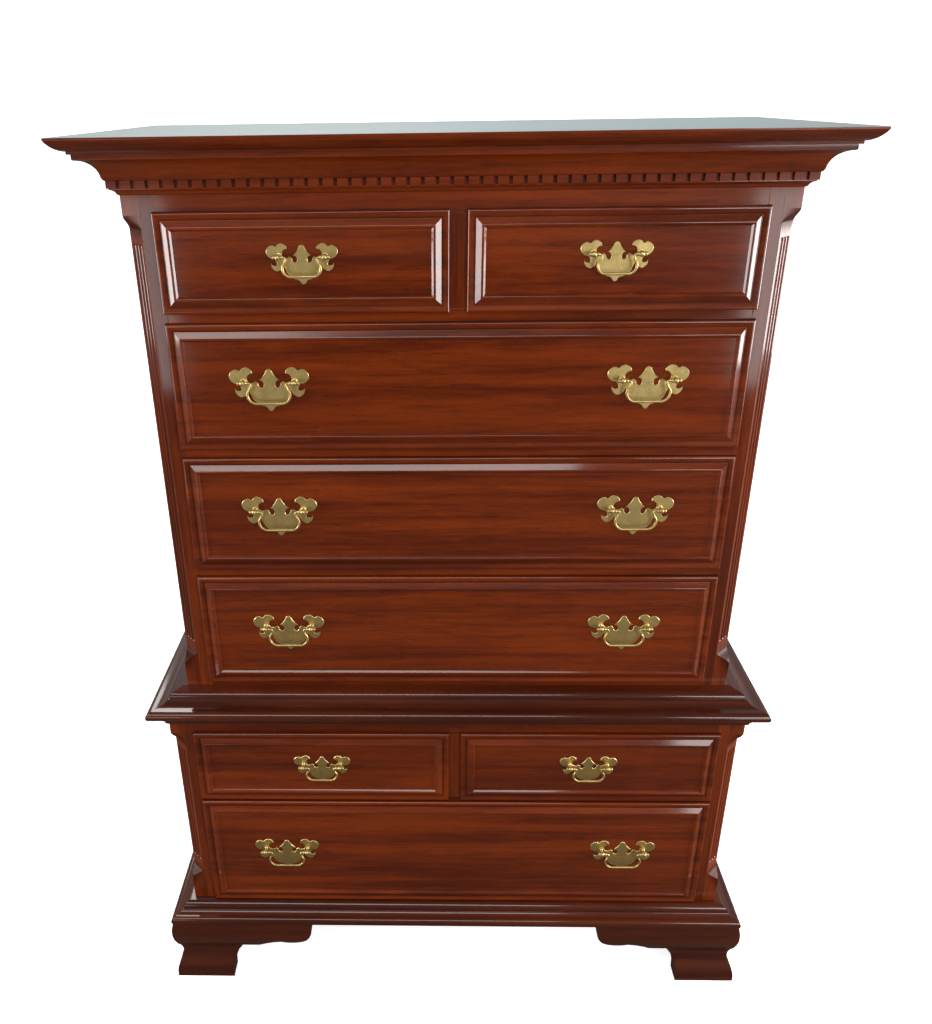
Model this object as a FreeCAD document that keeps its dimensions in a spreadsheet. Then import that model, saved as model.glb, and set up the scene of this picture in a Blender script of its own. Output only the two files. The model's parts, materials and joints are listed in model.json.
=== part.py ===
"""Cherry chest on chest: an upper case of five drawers standing on a lower case of three.

Millimetres, +Z up, +Y towards the back, origin on the floor under the middle of the chest.
Every driving length is a cell of the sheet Sizes; every piece is bound to those cells.
"""
import FreeCAD, Part
import math
import os

import Sketcher
from FreeCAD import Placement, Rotation, Vector

DRIVING_SIZES = {
    # whole chest
    "overall_height": 1600,
    "overall_depth": 548,
    "upper_case_width": 974,
    "lower_case_width": 1044,
    "upper_case_setback": 29.5,
    "foot_height": 144,
    "lower_case_top": 650,
    # boards
    "side_thickness": 19,
    "shelf_thickness": 16,
    "back_thickness": 6,
    "back_rebate": 9,
    "frame_thickness": 20,
    "top_thickness": 22,
    # face frame
    "post_width": 26,
    "post_depth": 38,
    "post_chamfer": 25,
    "tongue_length": 22,
    "upper_chamfer_lift": 92,
    "upper_chamfer_drop": 107,
    "lower_chamfer_lift": 107,
    "lower_chamfer_drop": 85,
    "flute_radius": 4,
    "flute_depth": 2.4,
    "flute_pitch": 9,
    "flute_margin": 20,
    "upper_stile_width": 17,
    "lower_stile_width": 16.5,
    "upper_centre_stile": 25,
    "lower_centre_stile": 20.5,
    # rows of drawers, measured over their lips: shares are heights in proportion to each other
    "upper_drawers_lift": 33,
    "upper_drawers_drop": 81,
    "small_drawer_share": 148,
    "middle_drawer_share": 203.5,
    "deep_drawer_share": 217,
    "upper_rail_gap": 14,
    "lower_drawers_lift": 34,
    "lower_drawers_drop": 59,
    "lower_small_share": 155,
    "lower_wide_share": 253.5,
    "lower_rail_gap": 4.5,
    # drawer fronts: rise is measured out from the face frame, inset in from the lip's edge
    "lip_overlap": 5,
    "lip_gap": 0.4,
    "edge_rise": 4,
    "bead_shoulder": 0.5,
    "bead_rise": 7.5,
    "bead_width": 6.5,
    "valley_rise": 5.5,
    "valley_inset": 12,
    "bevel_rise": 11,
    "bevel_inset": 20.5,
    "bevel_width": 4,
    "field_rise": 8.5,
    "frame_band": 27,
    "core_thickness": 12,
    # drawer boxes and what carries them
    "box_clearance": 1.5,
    "box_headroom": 14,
    "box_side_thickness": 12,
    "box_bottom_thickness": 6,
    "box_bottom_raise": 12,
    "groove_depth": 6,
    "box_rear_gap": 22,
    "running_gap": 0.3,
    "guide_gap": 0.5,
    "runner_thickness": 14,
    "runner_width": 44,
    "guide_height": 30,
    # mouldings: reach is measured out from the face of the case
    "quirk": 2,
    "crown_reach": 71,
    "top_edge_flat": 3,
    "top_ovolo_foot": 51.5,
    "top_ovolo_height": 15,
    "crown_fillet_reach": 45,
    "crown_fillet_height": 7,
    "crown_cove_foot": 17.5,
    "crown_cove_height": 24,
    "dentil_drop": 37,
    "dentil_reach": 13.5,
    "dentil_height": 10.5,
    "dentil_bed_reach": 4,
    "dentil_pitch": 20.5,
    "dentil_cut": 5.5,
    "dentil_cut_depth": 5,
    "crown_foot_reach": 11,
    "crown_foot_height": 10.5,
    "waist_top_rise": 24,
    "waist_ledge_reach": 13,
    "waist_roll_reach": 5.5,
    "waist_roll_height": 13,
    "waist_hollow_reach": 14,
    "waist_nose_reach": 31,
    "waist_nose_height": 19,
    "waist_neck_reach": 19.5,
    "waist_cove_reach": 7,
    "waist_cove_height": 11,
    "waist_foot_height": 10,
    "base_top_rise": 33,
    "base_ledge_reach": 9,
    "base_roll_reach": 20,
    "base_roll_height": 10,
    "base_hollow_reach": 33,
    "base_hollow_height": 17.5,
    "base_nose_reach": 42,
    "base_nose_height": 7,
    # feet: widths are measured from the corner of the foot
    "foot_spread": 44,
    "foot_bracket_thickness": 34,
    "foot_top_reach": 40.5,
    "foot_break_height": 84,
    "foot_break_reach": 37,
    "foot_ankle_height": 41,
    "foot_ankle_reach": 35,
    "foot_toe_height": 13,
    "foot_width": 116,
    "foot_throat": 139,
    "foot_opening_height": 81,
    "wing_start": 173,
    "wing_cusp": 218,
    "wing_cusp_height": 97,
    "wing_lobe_end": 270,
    "wing_lobe_height": 102,
    "wing_length": 281,
    "wing_end_height": 122,
    "side_wing_stretch": 0.55,
    "rear_bracket_thickness": 22,
    "foot_block_width": 40,
    "foot_block_lift": 10,
    # brass pulls
    "large_plate_width": 123,
    "small_plate_width": 104,
    "large_bore": 80,
    "small_bore": 68,
    "upper_pull_spread": 291,
    "lower_pull_spread": 324,
    "plate_thickness": 1.6,
    "pivot_reach": 12,
    "post_flange_radius": 5,
    "post_flange_thickness": 1.2,
    "post_neck_radius": 2.2,
    "post_head_radius": 4.6,
    "post_shank_radius": 2.4,
    "post_cheek": 3,
    "shank_tail": 1.5,
    "shank_clearance": 0.1,
    "nut_clearance": 0.05,
    "nut_radius": 7,
    "nut_thickness": 4,
    "bail_radius": 2,
    "bail_fit": 0.08,
    "bail_collar_radius": 2.325,
    "bail_collar_length": 4.5,
    "bail_collar_gap": 0.3,
}

# How far a cut reaches past the wood it takes away, in millimetres.
OVERRUN = 1


class Size:
    """A length that carries both its value and the expression that gives it."""

    def __init__(self, value, text):
        self.value = float(value)
        self.text = text

    def __add__(self, other):
        other = as_size(other)
        return Size(self.value + other.value, f"({self.text} + {other.text})")

    def __sub__(self, other):
        other = as_size(other)
        return Size(self.value - other.value, f"({self.text} - {other.text})")

    def __mul__(self, other):
        other = as_size(other)
        return Size(self.value * other.value, f"({self.text} * {other.text})")

    def __truediv__(self, other):
        other = as_size(other)
        return Size(self.value / other.value, f"({self.text} / {other.text})")

    def __radd__(self, other):
        return as_size(other) + self

    def __rsub__(self, other):
        return as_size(other) - self

    def __rmul__(self, other):
        return as_size(other) * self

    def __neg__(self):
        return Size(-self.value, f"(0 - {self.text})")


def as_size(number):
    """Wrap a plain number so that it can stand in an expression."""
    return number if isinstance(number, Size) else Size(number, repr(float(number)))


def distance(start, end):
    """Distance between two points whose coordinates are sizes."""
    run = end[0] - start[0]
    rise = end[1] - start[1]
    return Size(math.hypot(run.value, rise.value), f"sqrt({run.text} ^ 2 + {rise.text} ^ 2)")


class SizeSheet:
    """The sheet of driving sizes; each alias reads as a Size attribute."""

    def __init__(self, document, sizes):
        self.sheet = document.addObject("Spreadsheet::Sheet", "Sizes")
        for row, (alias, value) in enumerate(sizes.items(), 1):
            self.sheet.set(f"A{row}", alias)
            self.sheet.set(f"B{row}", str(value))
            self.sheet.setAlias(f"B{row}", alias)
        self.last_row = len(sizes)
        document.recompute()

    def __getattr__(self, alias):
        return Size(self.sheet.get(alias), f"Sizes.{alias}")

    def worked_out(self, alias, size):
        """Keep a size that follows from others in a cell of its own, and read it from there."""
        self.last_row += 1
        self.sheet.set(f"A{self.last_row}", alias)
        self.sheet.set(f"B{self.last_row}", "=" + size.text.replace("Sizes.", ""))
        self.sheet.setAlias(f"B{self.last_row}", alias)
        return Size(size.value, f"Sizes.{alias}")


doc = FreeCAD.newDocument("ChestOnChest")
s = SizeSheet(doc, DRIVING_SIZES)
NODES = []


# --- helpers -----------------------------------------------------------------

def bind(item, **sizes):
    """Bind properties of an object to sizes, such as Length=..., and leave them computed."""
    for name, size in sizes.items():
        item.setExpression(name, as_size(size).text)


def place(item, x, y, z):
    """Bind an object's position to three sizes."""
    for axis, size in zip("xyz", (x, y, z)):
        item.setExpression(f"Placement.Base.{axis}", as_size(size).text)
    return item


def board(name, low, span):
    """A rectangular board from its low corner and its three lengths."""
    item = doc.addObject("Part::Box", name)
    bind(item, Length=span[0], Width=span[1], Height=span[2])
    return place(item, *low)


def node(name, *pieces):
    """Register one node: a single piece, or a group of separate pieces."""
    if len(pieces) == 1:
        item = pieces[0]
    else:
        item = doc.addObject("Part::Compound", name)
        item.Links = list(pieces)
    item.Label = name
    NODES.append(item)
    return item


def mirrored(item, name, middle=0):
    """The same piece on the other side of the upright plane x = middle."""
    twin = doc.addObject("Part::Mirroring", name)
    twin.Source = item
    twin.Normal = Vector(1, 0, 0)
    twin.setExpression("Base.x", as_size(middle).text)
    return twin


def new_body(name):
    return doc.addObject("PartDesign::Body", name)


def origin_plane(body, role):
    return next(item for item in body.Origin.OriginFeatures if item.Role == role)


def new_sketch(body, name, role, offset, turn=0):
    """A sketch on an origin plane of the body, moved along the plane's normal by offset.

    turn swings the sketch about its own vertical, in degrees.
    """
    sketch = body.newObject("Sketcher::SketchObject", name)
    sketch.AttachmentSupport = [(origin_plane(body, role), "")]
    sketch.MapMode = "FlatFace"
    if turn:
        sketch.AttachmentOffset = Placement(Vector(0, 0, 0), Rotation(Vector(0, 1, 0), turn))
    sketch.setExpression("AttachmentOffset.Base.z", as_size(offset).text)
    return sketch


def constrain(sketch, kind, *target, size):
    """Add a dimension to a sketch and bind it to a size."""
    rule = sketch.addConstraint(Sketcher.Constraint(kind, *target, size.value))
    sketch.setExpression(f"Constraints[{rule}]", size.text)


def arc(start, end, radius, side):
    """The minor arc between two points; side +1 bulges to the left of travel."""
    chord = end - start
    left = Vector(-chord.y, chord.x, 0).normalize()
    depth = math.sqrt(max(radius ** 2 - (chord.Length / 2) ** 2, 0))
    centre = (start + end) * 0.5 - left * (side * depth)
    first, last = (end, start) if side > 0 else (start, end)
    low, high = (math.atan2(point.y - centre.y, point.x - centre.x) for point in (first, last))
    if high < low:
        high += 2 * math.pi
    return Part.ArcOfCircle(Part.Circle(centre, Vector(0, 0, 1), radius), low, high)


def draw(sketch, path, closed=True):
    """Draw a chain of lines and arcs, every point and radius bound to its size.

    Each step is (x, y) for a straight run to that point, or (x, y, bend, side) for an arc that
    ends there: bend is its radius as a multiple of its chord, side +1 bulges left of travel.
    """
    corners = [(as_size(step[0]), as_size(step[1])) for step in path]
    points = [Vector(x.value, y.value, 0) for x, y in corners]
    ends = []
    steps = range(len(path)) if closed else range(1, len(path))
    for index in steps:
        step = path[index]
        start, end = points[index - 1], points[index]
        bend, side = step[2:] if len(step) == 4 else (0, 0)
        if side:
            radius = distance(corners[index - 1], corners[index]) * bend
            item = sketch.addGeometry(arc(start, end, radius.value, side), False)
            constrain(sketch, "Radius", item, size=radius)
        else:
            item = sketch.addGeometry(Part.LineSegment(start, end), False)
        ends.append((item, 2, 1) if side > 0 else (item, 1, 2))
    for index, (item, tail, head) in enumerate(ends):
        if index + 1 < len(ends) or closed:
            follower, follower_tail, _ = ends[(index + 1) % len(ends)]
            sketch.addConstraint(
                Sketcher.Constraint("Coincident", item, head, follower, follower_tail))
    if not closed:
        ends.insert(0, (ends[0][0], ends[0][2], ends[0][1]))
    for (item, _, head), (x, y) in zip(ends, corners):
        constrain(sketch, "DistanceX", -1, 1, item, head, size=x)
        constrain(sketch, "DistanceY", -1, 1, item, head, size=y)


def outline(body, name, role, offset, path, turn=0):
    """A sketch of one closed outline."""
    sketch = new_sketch(body, name, role, offset, turn)
    draw(sketch, path)
    return sketch


def circles(body, name, role, offset, rounds):
    """A sketch of circles, each given as (x, y, radius)."""
    sketch = new_sketch(body, name, role, offset)
    for x, y, radius in rounds:
        x, y, radius = as_size(x), as_size(y), as_size(radius)
        curve = Part.Circle(Vector(x.value, y.value, 0), Vector(0, 0, 1), radius.value)
        item = sketch.addGeometry(curve, False)
        constrain(sketch, "Radius", item, size=radius)
        constrain(sketch, "DistanceX", -1, 1, item, 3, size=x)
        constrain(sketch, "DistanceY", -1, 1, item, 3, size=y)
    return sketch


def pad(body, sketch, length, reverse=False):
    """Raise a sketch into a solid of the body."""
    feature = body.newObject("PartDesign::Pad", sketch.Name + "Pad")
    feature.Profile = sketch
    feature.Reversed = reverse
    bind(feature, Length=length)
    doc.recompute()
    return feature


def pocket(body, sketch, length, reverse=False, both_ways=False):
    """Cut a sketch into the body, against its normal unless reversed, and check that it cut."""
    before = body.Shape.Volume
    feature = body.newObject("PartDesign::Pocket", sketch.Name + "Pocket")
    feature.Profile = sketch
    feature.Reversed = reverse
    feature.Midplane = both_ways
    bind(feature, Length=length)
    doc.recompute()
    if body.Shape.Volume >= before:
        raise ValueError(f"{body.Name}: {sketch.Name} cut nothing")
    return feature


def turned(body, sketch, axis):
    """Turn a sketch once around one of its own axes."""
    feature = body.newObject("PartDesign::Revolution", sketch.Name + "Turned")
    feature.Profile = sketch
    feature.ReferenceAxis = (sketch, [axis])
    feature.Angle = 360
    doc.recompute()
    return feature


def swept(body, profile, path, corners):
    """Carry a profile along a path sketch; corners names how it turns at a corner."""
    feature = body.newObject("PartDesign::AdditivePipe", profile.Name + "Swept")
    feature.Profile = profile
    feature.Spine = (path, [f"Edge{index + 1}" for index in range(path.GeometryCount)])
    feature.Transition = corners
    doc.recompute()
    return feature


def rectangle(x0, y0, x1, y1):
    return [(x0, y0), (x1, y0), (x1, y1), (x0, y1)]


def standing_off(face, steps, out=-1):
    """Outline steps given as (reach, height, ...), reach counted outwards from a face.

    out is the direction the face looks in along the sketch's first axis.
    """
    placed = []
    for reach, height, *curve in steps:
        if curve:
            bend, side = curve
            curve = (bend, -side * out)
        placed.append((face + reach * out, height, *curve))
    return placed


# --- places worked out from the driving sizes -----------------------------------

back_face = s.overall_depth / 2
lower_front = s.foot_spread - s.overall_depth / 2
upper_front = lower_front + s.upper_case_setback
upper_half = s.upper_case_width / 2
lower_half = s.lower_case_width / 2
upper_case_top = s.overall_height - s.top_thickness
panel_face = back_face - s.back_thickness
dentil_top = upper_case_top - s.dentil_drop
dentil_bottom = dentil_top - s.dentil_height


class Case:
    """One of the two cases: its box, its face frame and the rows of drawers in it."""

    def __init__(self, name, half, front, bottom, top, stile, centre_stile):
        self.name = name
        self.half = half
        self.front = front
        self.bottom = bottom
        self.top = top
        self.stile = stile
        self.centre_stile = centre_stile
        self.frame_back = front + s.frame_thickness
        self.inner_half = half - s.side_thickness
        self.lip_half = half - s.post_width - stile
        self.opening_half = self.lip_half - s.lip_overlap


upper = Case("upper", upper_half, upper_front, s.lower_case_top, upper_case_top,
             s.upper_stile_width, s.upper_centre_stile)
lower = Case("lower", lower_half, lower_front, s.foot_height, s.lower_case_top,
             s.lower_stile_width, s.lower_centre_stile)


class Drawer:
    """Where a drawer sits: its case, the span of its lip and the spots its pulls hang from."""

    def __init__(self, name, case, lip_left, lip_right, lip_bottom, lip_top, pulls):
        self.name = name
        self.case = case
        self.lip_left = lip_left
        self.lip_right = lip_right
        self.lip_bottom = lip_bottom
        self.lip_top = lip_top
        self.pulls = pulls
        self.middle = (lip_left + lip_right) / 2
        self.left = lip_left + s.lip_overlap + s.box_clearance
        self.right = lip_right - s.lip_overlap - s.box_clearance
        self.rest = lip_bottom + s.lip_overlap
        self.bottom = self.rest + s.running_gap
        self.core_top = lip_top - s.lip_overlap - s.box_clearance
        self.top = lip_top - s.lip_overlap - s.box_headroom
        self.core_back = case.front + s.core_thickness
        self.field = case.front - s.field_rise
        self.rear = panel_face - s.box_rear_gap


def drawer_row(case, top, height, names, spread):
    """The drawers of one row: one across the case, or two beside the centre stile.

    spread is how far from the middle the two pulls of a wide drawer sit.
    """
    bottom = top - height
    if len(names) == 1:
        pulls = {"_left": -spread, "_right": spread}
        return [Drawer(names[0], case, -case.lip_half, case.lip_half, bottom, top, pulls)]
    inner = case.centre_stile / 2
    middle = (case.lip_half + inner) / 2
    return [
        Drawer(names[0], case, -case.lip_half, -inner, bottom, top, {"": -middle}),
        Drawer(names[1], case, inner, case.lip_half, bottom, top, {"": middle}),
    ]


def drawer_rows(case, lift, drop, gap, spread, rows):
    """The rows of a case from the top down, each given as its share of the height and its names.

    The rows fill the case from lift over its bottom to drop under its top, gap apart.
    """
    top = case.top - drop
    free = top - case.bottom - lift - gap * (len(rows) - 1)
    whole = sum(share for share, names in rows)
    drawers = []
    for index, (share, names) in enumerate(rows):
        height = s.worked_out(f"{case.name}_row_{index}_height", free * share / whole)
        drawers.append(drawer_row(case, top, height, names, spread))
        top = s.worked_out(f"{case.name}_row_{index}_foot", top - height) - gap
    return drawers


UPPER_ROWS = drawer_rows(
    upper, s.upper_drawers_lift, s.upper_drawers_drop, s.upper_rail_gap, s.upper_pull_spread,
    [
        (s.small_drawer_share, ["top_left_drawer", "top_right_drawer"]),
        (s.middle_drawer_share, ["second_drawer"]),
        (s.middle_drawer_share, ["third_drawer"]),
        (s.deep_drawer_share, ["fourth_drawer"]),
    ],
)
LOWER_ROWS = drawer_rows(
    lower, s.lower_drawers_lift, s.lower_drawers_drop, s.lower_rail_gap, s.lower_pull_spread,
    [
        (s.lower_small_share, ["base_left_drawer", "base_right_drawer"]),
        (s.lower_wide_share, ["base_wide_drawer"]),
    ],
)
DRAWERS = [drawer for row in UPPER_ROWS + LOWER_ROWS for drawer in row]


# --- cases -------------------------------------------------------------------------

def case_side(case):
    """A left side board behind the corner post, with a rebate for the back panel."""
    body = new_body(f"{case.name}_side_left")
    outer, inner = -case.half, -case.inner_half
    rebate = inner - s.back_rebate
    plan = [(outer, case.front + s.post_depth), (inner, case.front + s.post_depth),
            (inner, panel_face), (rebate, panel_face), (rebate, back_face), (outer, back_face)]
    pad(body, outline(body, f"{case.name}_side_plan", "XY_Plane", case.bottom, plan),
        case.top - case.bottom)
    return body


def chamfer_cut(tongue_bottom, tongue_top):
    """Waste of the corner chamfer, from the corner inwards: full depth between two ogee stops."""
    depth = s.post_chamfer / math.sqrt(2)
    beyond = -s.post_chamfer
    run = s.tongue_length
    bend = distance((as_size(0), as_size(0)), (depth / 2, run / 2)) / depth
    return [
        (beyond, tongue_bottom - run),
        (0, tongue_bottom - run),
        (depth / 2, tongue_bottom - run / 2, bend, 1),
        (depth, tongue_bottom, bend, -1),
        (depth, tongue_top),
        (depth / 2, tongue_top + run / 2, bend, -1),
        (0, tongue_top + run, bend, 1),
        (beyond, tongue_top + run),
    ]


def corner_post(case, tongue_bottom, tongue_top):
    """Left corner post: rebated inside, chamfered between lamb's tongues, the chamfer fluted."""
    body = new_body(f"{case.name}_post_left")
    plan = [(0, 0), (s.post_width, 0), (s.post_width, s.frame_thickness),
            (s.side_thickness, s.frame_thickness), (s.side_thickness, s.post_depth),
            (0, s.post_depth)]
    pad(body, outline(body, f"{case.name}_post_plan", "XY_Plane", case.bottom, plan),
        case.top - case.bottom)
    chamfer = outline(body, f"{case.name}_chamfer", "XZ_Plane", 0,
                      chamfer_cut(tongue_bottom, tongue_top), turn=45)
    pocket(body, chamfer, s.post_chamfer * 4, both_ways=True)
    spots = []
    for index in (-1, 0, 1):
        along = s.flute_pitch * (index / math.sqrt(2))
        outward = (s.flute_radius - s.flute_depth) / math.sqrt(2)
        spots.append((s.post_chamfer / 2 + along - outward,
                      s.post_chamfer / 2 - along - outward, s.flute_radius))
    top = tongue_top - s.flute_margin
    flutes = circles(body, f"{case.name}_flutes", "XY_Plane", top, spots)
    pocket(body, flutes, top - tongue_bottom - s.flute_margin)
    return place(body, -case.half, case.front, 0)


def stiles(case, rows):
    """The two outer stiles between posts and drawers, and the centre stile of the top row."""
    low = case.bottom
    tall = case.top - low
    width = case.stile + s.lip_overlap
    left = board(f"{case.name}_stile_left", (-case.half + s.post_width, case.front, low),
                 (width, s.frame_thickness, tall))
    right = board(f"{case.name}_stile_right", (case.opening_half, case.front, low),
                  (width, s.frame_thickness, tall))
    row = rows[0][0]
    half = case.centre_stile / 2 + s.lip_overlap
    bottom = row.rest
    centre = board(f"{case.name}_stile_centre", (-half, case.front, bottom),
                   (half * 2, s.frame_thickness, row.lip_top - s.lip_overlap - bottom))
    return node(f"{case.name}_stiles", left, right, centre)


def rails(case, rows):
    """The rails across the face frame: over the top row, between rows and under the last."""
    tops = [case.top] + [row[0].rest for row in rows]
    bottoms = [row[0].lip_top - s.lip_overlap for row in rows] + [case.bottom]
    pieces = [
        board(f"{case.name}_rail_{index}", (-case.opening_half, case.front, bottom),
              (case.opening_half * 2, s.frame_thickness, top - bottom))
        for index, (bottom, top) in enumerate(zip(bottoms, tops))
    ]
    return node(f"{case.name}_rails", *pieces)


def runners(case, rows):
    """Under each drawer side a runner, and beside it a guide; one pair serves a centre stile."""
    pieces = []
    start = case.frame_back
    length = panel_face - start
    for index, row in enumerate(rows):
        rest = row[0].rest
        guide_width = case.inner_half - case.opening_half + s.box_clearance - s.guide_gap
        for side, name in ((-1, "left"), (1, "right")):
            edge = -case.inner_half if side < 0 else case.inner_half - s.runner_width
            pieces.append(board(f"{case.name}_runner_{index}_{name}",
                                (edge, start, rest - s.runner_thickness),
                                (s.runner_width, length, s.runner_thickness)))
            edge = -case.inner_half if side < 0 else case.inner_half - guide_width
            pieces.append(board(f"{case.name}_guide_{index}_{name}", (edge, start, rest),
                                (guide_width, length, s.guide_height)))
        if len(row) == 2:
            half = case.centre_stile / 2 + s.lip_overlap
            pieces.append(board(f"{case.name}_runner_{index}_centre",
                                (-half - s.runner_width / 2, start, rest - s.runner_thickness),
                                (half * 2 + s.runner_width, length, s.runner_thickness)))
            guide = half + s.box_clearance - s.guide_gap
            pieces.append(board(f"{case.name}_guide_{index}_centre", (-guide, start, rest),
                                (guide * 2, length, s.guide_height)))
    return node(f"{case.name}_drawer_runners", *pieces)


def shelf(case, name, low):
    """A horizontal board of a case between its sides and behind the face frame."""
    return node(name, board(name, (-case.inner_half, case.frame_back, low),
                            (case.inner_half * 2, panel_face - case.frame_back,
                             s.shelf_thickness)))


def back_panel(case):
    """The thin panel set into the rebates at the back of a case."""
    half = case.inner_half + s.back_rebate
    name = f"{case.name}_back_panel"
    return node(name, board(name, (-half, panel_face, case.bottom),
                            (half * 2, s.back_thickness, case.top - case.bottom)))


def build_case(case, rows, chamfer_lift, chamfer_drop):
    """Everything of a case but its mouldings; the chamfer's ends are given from the case's ends."""
    side = case_side(case)
    node(f"{case.name}_side_left", side)
    node(f"{case.name}_side_right", mirrored(side, f"{case.name}_side_right"))
    post = corner_post(case, case.bottom + chamfer_lift, case.top - chamfer_drop)
    node(f"{case.name}_corner_posts", post, mirrored(post, f"{case.name}_post_right"))
    stiles(case, rows)
    rails(case, rows)
    runners(case, rows)
    back_panel(case)
    shelf(case, f"{case.name}_bottom_board", case.bottom)


def lower_top_board():
    """The board that closes the lower case and carries the upper one."""
    shelf(lower, "lower_top_board", lower.top - s.shelf_thickness)


# --- mouldings ---------------------------------------------------------------------

def top_edge_waste(face, out):
    """Waste under the rim of the top board: a flat edge, then an ovolo running in to a quirk."""
    lip = s.overall_height - s.top_edge_flat
    foot = lip - s.top_ovolo_height
    beyond = s.crown_reach + s.quirk
    below = upper_case_top - s.quirk
    return standing_off(face, [
        (beyond, lip),
        (s.crown_reach, lip),
        (s.top_ovolo_foot, foot, 1.2, -1),
        (s.top_ovolo_foot - s.quirk, foot),
        (s.top_ovolo_foot - s.quirk, below),
        (beyond, below),
    ], out)


def top_board():
    """The top: one board, its front and both ends worked with the same ovolo."""
    body = new_body("upper_top_board")
    reach = upper_half + s.crown_reach
    front = upper_front - s.crown_reach
    plan = rectangle(-reach, front, reach, back_face)
    pad(body, outline(body, "top_plan", "XY_Plane", upper_case_top, plan), s.top_thickness)
    depth = s.overall_depth * 2
    for side, face, out in (("left", -upper_half, -1), ("right", upper_half, 1)):
        pocket(body, outline(body, f"top_{side}_waste", "XZ_Plane", s.overall_depth,
                             top_edge_waste(face, out)), depth)
    pocket(body, outline(body, "top_front_waste", "YZ_Plane", reach + s.quirk,
                         top_edge_waste(upper_front, -1)), (reach + s.quirk) * 2)
    return node("upper_top_board", body)


def crown_section(face, inner):
    """Crown under the top board: fillet, deep cove, recessed ground for dentils, small foot."""
    fillet = upper_case_top - s.crown_fillet_height
    cove = fillet - s.quirk / 2
    cove_foot = cove - s.crown_cove_height
    foot = dentil_bottom - s.crown_foot_height
    return [(inner, upper_case_top)] + standing_off(face, [
        (s.crown_fillet_reach, upper_case_top),
        (s.crown_fillet_reach, fillet),
        (s.crown_fillet_reach - s.quirk, cove),
        (s.crown_cove_foot, cove_foot, 0.77, 1),
        (s.dentil_reach + s.quirk, dentil_top + s.quirk / 2),
        (s.dentil_reach, dentil_top),
        (s.dentil_bed_reach, dentil_top),
        (s.dentil_bed_reach, dentil_bottom),
        (s.crown_foot_reach, dentil_bottom),
        (s.crown_foot_reach, dentil_bottom - s.quirk),
        (s.crown_foot_reach / 4, foot + s.quirk, 0.9, 1),
        (0, foot),
    ])


def waist_section(face, inner):
    """Waist moulding: ledge, rolled slope, fillet, hollow, nosing, and a cove beneath."""
    top = s.lower_case_top + s.waist_top_rise
    roll = top - s.waist_roll_height
    hollow = s.lower_case_top + s.quirk / 2
    nose = hollow - s.waist_nose_height
    cove = nose - s.quirk * 2
    cove_foot = cove - s.waist_cove_height
    return [(inner, top)] + standing_off(face, [
        (-s.waist_ledge_reach, top - s.waist_roll_height / 3),
        (-s.waist_roll_reach, roll, 0.9, -1),
        (-s.waist_roll_reach, roll - s.quirk),
        (-s.waist_roll_reach + s.quirk, roll - s.quirk),
        (s.waist_hollow_reach, hollow, 1.4, 1),
        (s.waist_nose_reach - s.waist_nose_height / 2, hollow),
        (s.waist_nose_reach, hollow - s.waist_nose_height / 2, 0.72, -1),
        (s.waist_neck_reach + s.quirk, nose, 0.72, -1),
        (s.waist_neck_reach, nose),
        (s.waist_neck_reach, cove),
        (s.waist_cove_reach, cove_foot, 0.8, 1),
        (s.waist_cove_reach - s.quirk, cove_foot),
        (s.waist_cove_reach - s.quirk, cove_foot - s.waist_foot_height / 2),
        (0, cove_foot - s.waist_foot_height),
        (0, s.lower_case_top),
    ]) + [(inner, s.lower_case_top)]


def base_section(face, inner):
    """Base moulding: ledge, rolled slope, fillet, hollow, then a broad rounded nosing."""
    top = s.foot_height + s.base_top_rise
    roll = top - s.base_roll_height
    hollow = top - s.base_hollow_height
    nose = hollow - s.base_nose_height
    return [(inner, top)] + standing_off(face, [
        (s.base_ledge_reach, top),
        (s.base_roll_reach, roll, 0.9, -1),
        (s.base_roll_reach, roll - s.quirk),
        (s.base_roll_reach + s.quirk, roll - s.quirk),
        (s.base_hollow_reach, hollow, 1.1, 1),
        (s.base_hollow_reach + s.quirk, hollow),
        (s.base_nose_reach, nose, 0.8, -1),
        (s.base_nose_reach, nose - s.quirk * 2),
        (s.foot_top_reach, s.foot_height),
        (0, s.foot_height),
    ])


def moulding(name, section, half, front, reach, inset_front, inset_side):
    """A moulding on the front and both sides of a case, in three lengths mitred at the corners.

    section gives the outline from the case's face and the line where the moulding ends inside
    it; reach is how far the moulding stands out.
    """
    tip_x, tip_y = -half - reach, front - reach
    above = s.overall_height + OVERRUN
    drop = above + OVERRUN
    run = new_body(f"{name}_front")
    pad(run, outline(run, f"{name}_front_section", "YZ_Plane", tip_x,
                     section(front, front + inset_front)), (half + reach) * 2)
    outer_x, outer_y = tip_x - OVERRUN, tip_y - OVERRUN
    behind = front + inset_front + OVERRUN
    waste = [(outer_x, outer_y), (-half + inset_front + OVERRUN, behind), (outer_x, behind)]
    pocket(run, outline(run, f"{name}_left_mitre", "XY_Plane", above, waste), drop)
    waste = [(-x, y) for x, y in waste]
    pocket(run, outline(run, f"{name}_right_mitre", "XY_Plane", above, waste), drop)
    side = new_body(f"{name}_left")
    pad(side, outline(side, f"{name}_side_section", "XZ_Plane", -tip_y,
                      section(-half, -half + inset_side)), back_face - tip_y, reverse=True)
    inner = -half + inset_side + OVERRUN
    waste = [(outer_x, outer_y), (-half + inset_front, front + inset_front),
             (inner, front + inset_front), (inner, outer_y)]
    pocket(side, outline(side, f"{name}_side_mitre", "XY_Plane", above, waste), drop)
    return node(f"{name}_moulding", run, side, mirrored(side, f"{name}_right"))


def crown_moulding():
    flush = as_size(0)
    moulding("crown", crown_section, upper_half, upper_front, s.crown_fillet_reach, flush, flush)


def waist_moulding():
    moulding("waist", waist_section, lower_half, lower_front, s.waist_nose_reach,
             s.upper_case_setback, lower_half - upper_half)


def base_moulding():
    flush = as_size(0)
    moulding("base", base_section, lower_half, lower_front, s.base_nose_reach, flush, flush)


# --- dentils -----------------------------------------------------------------------

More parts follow.
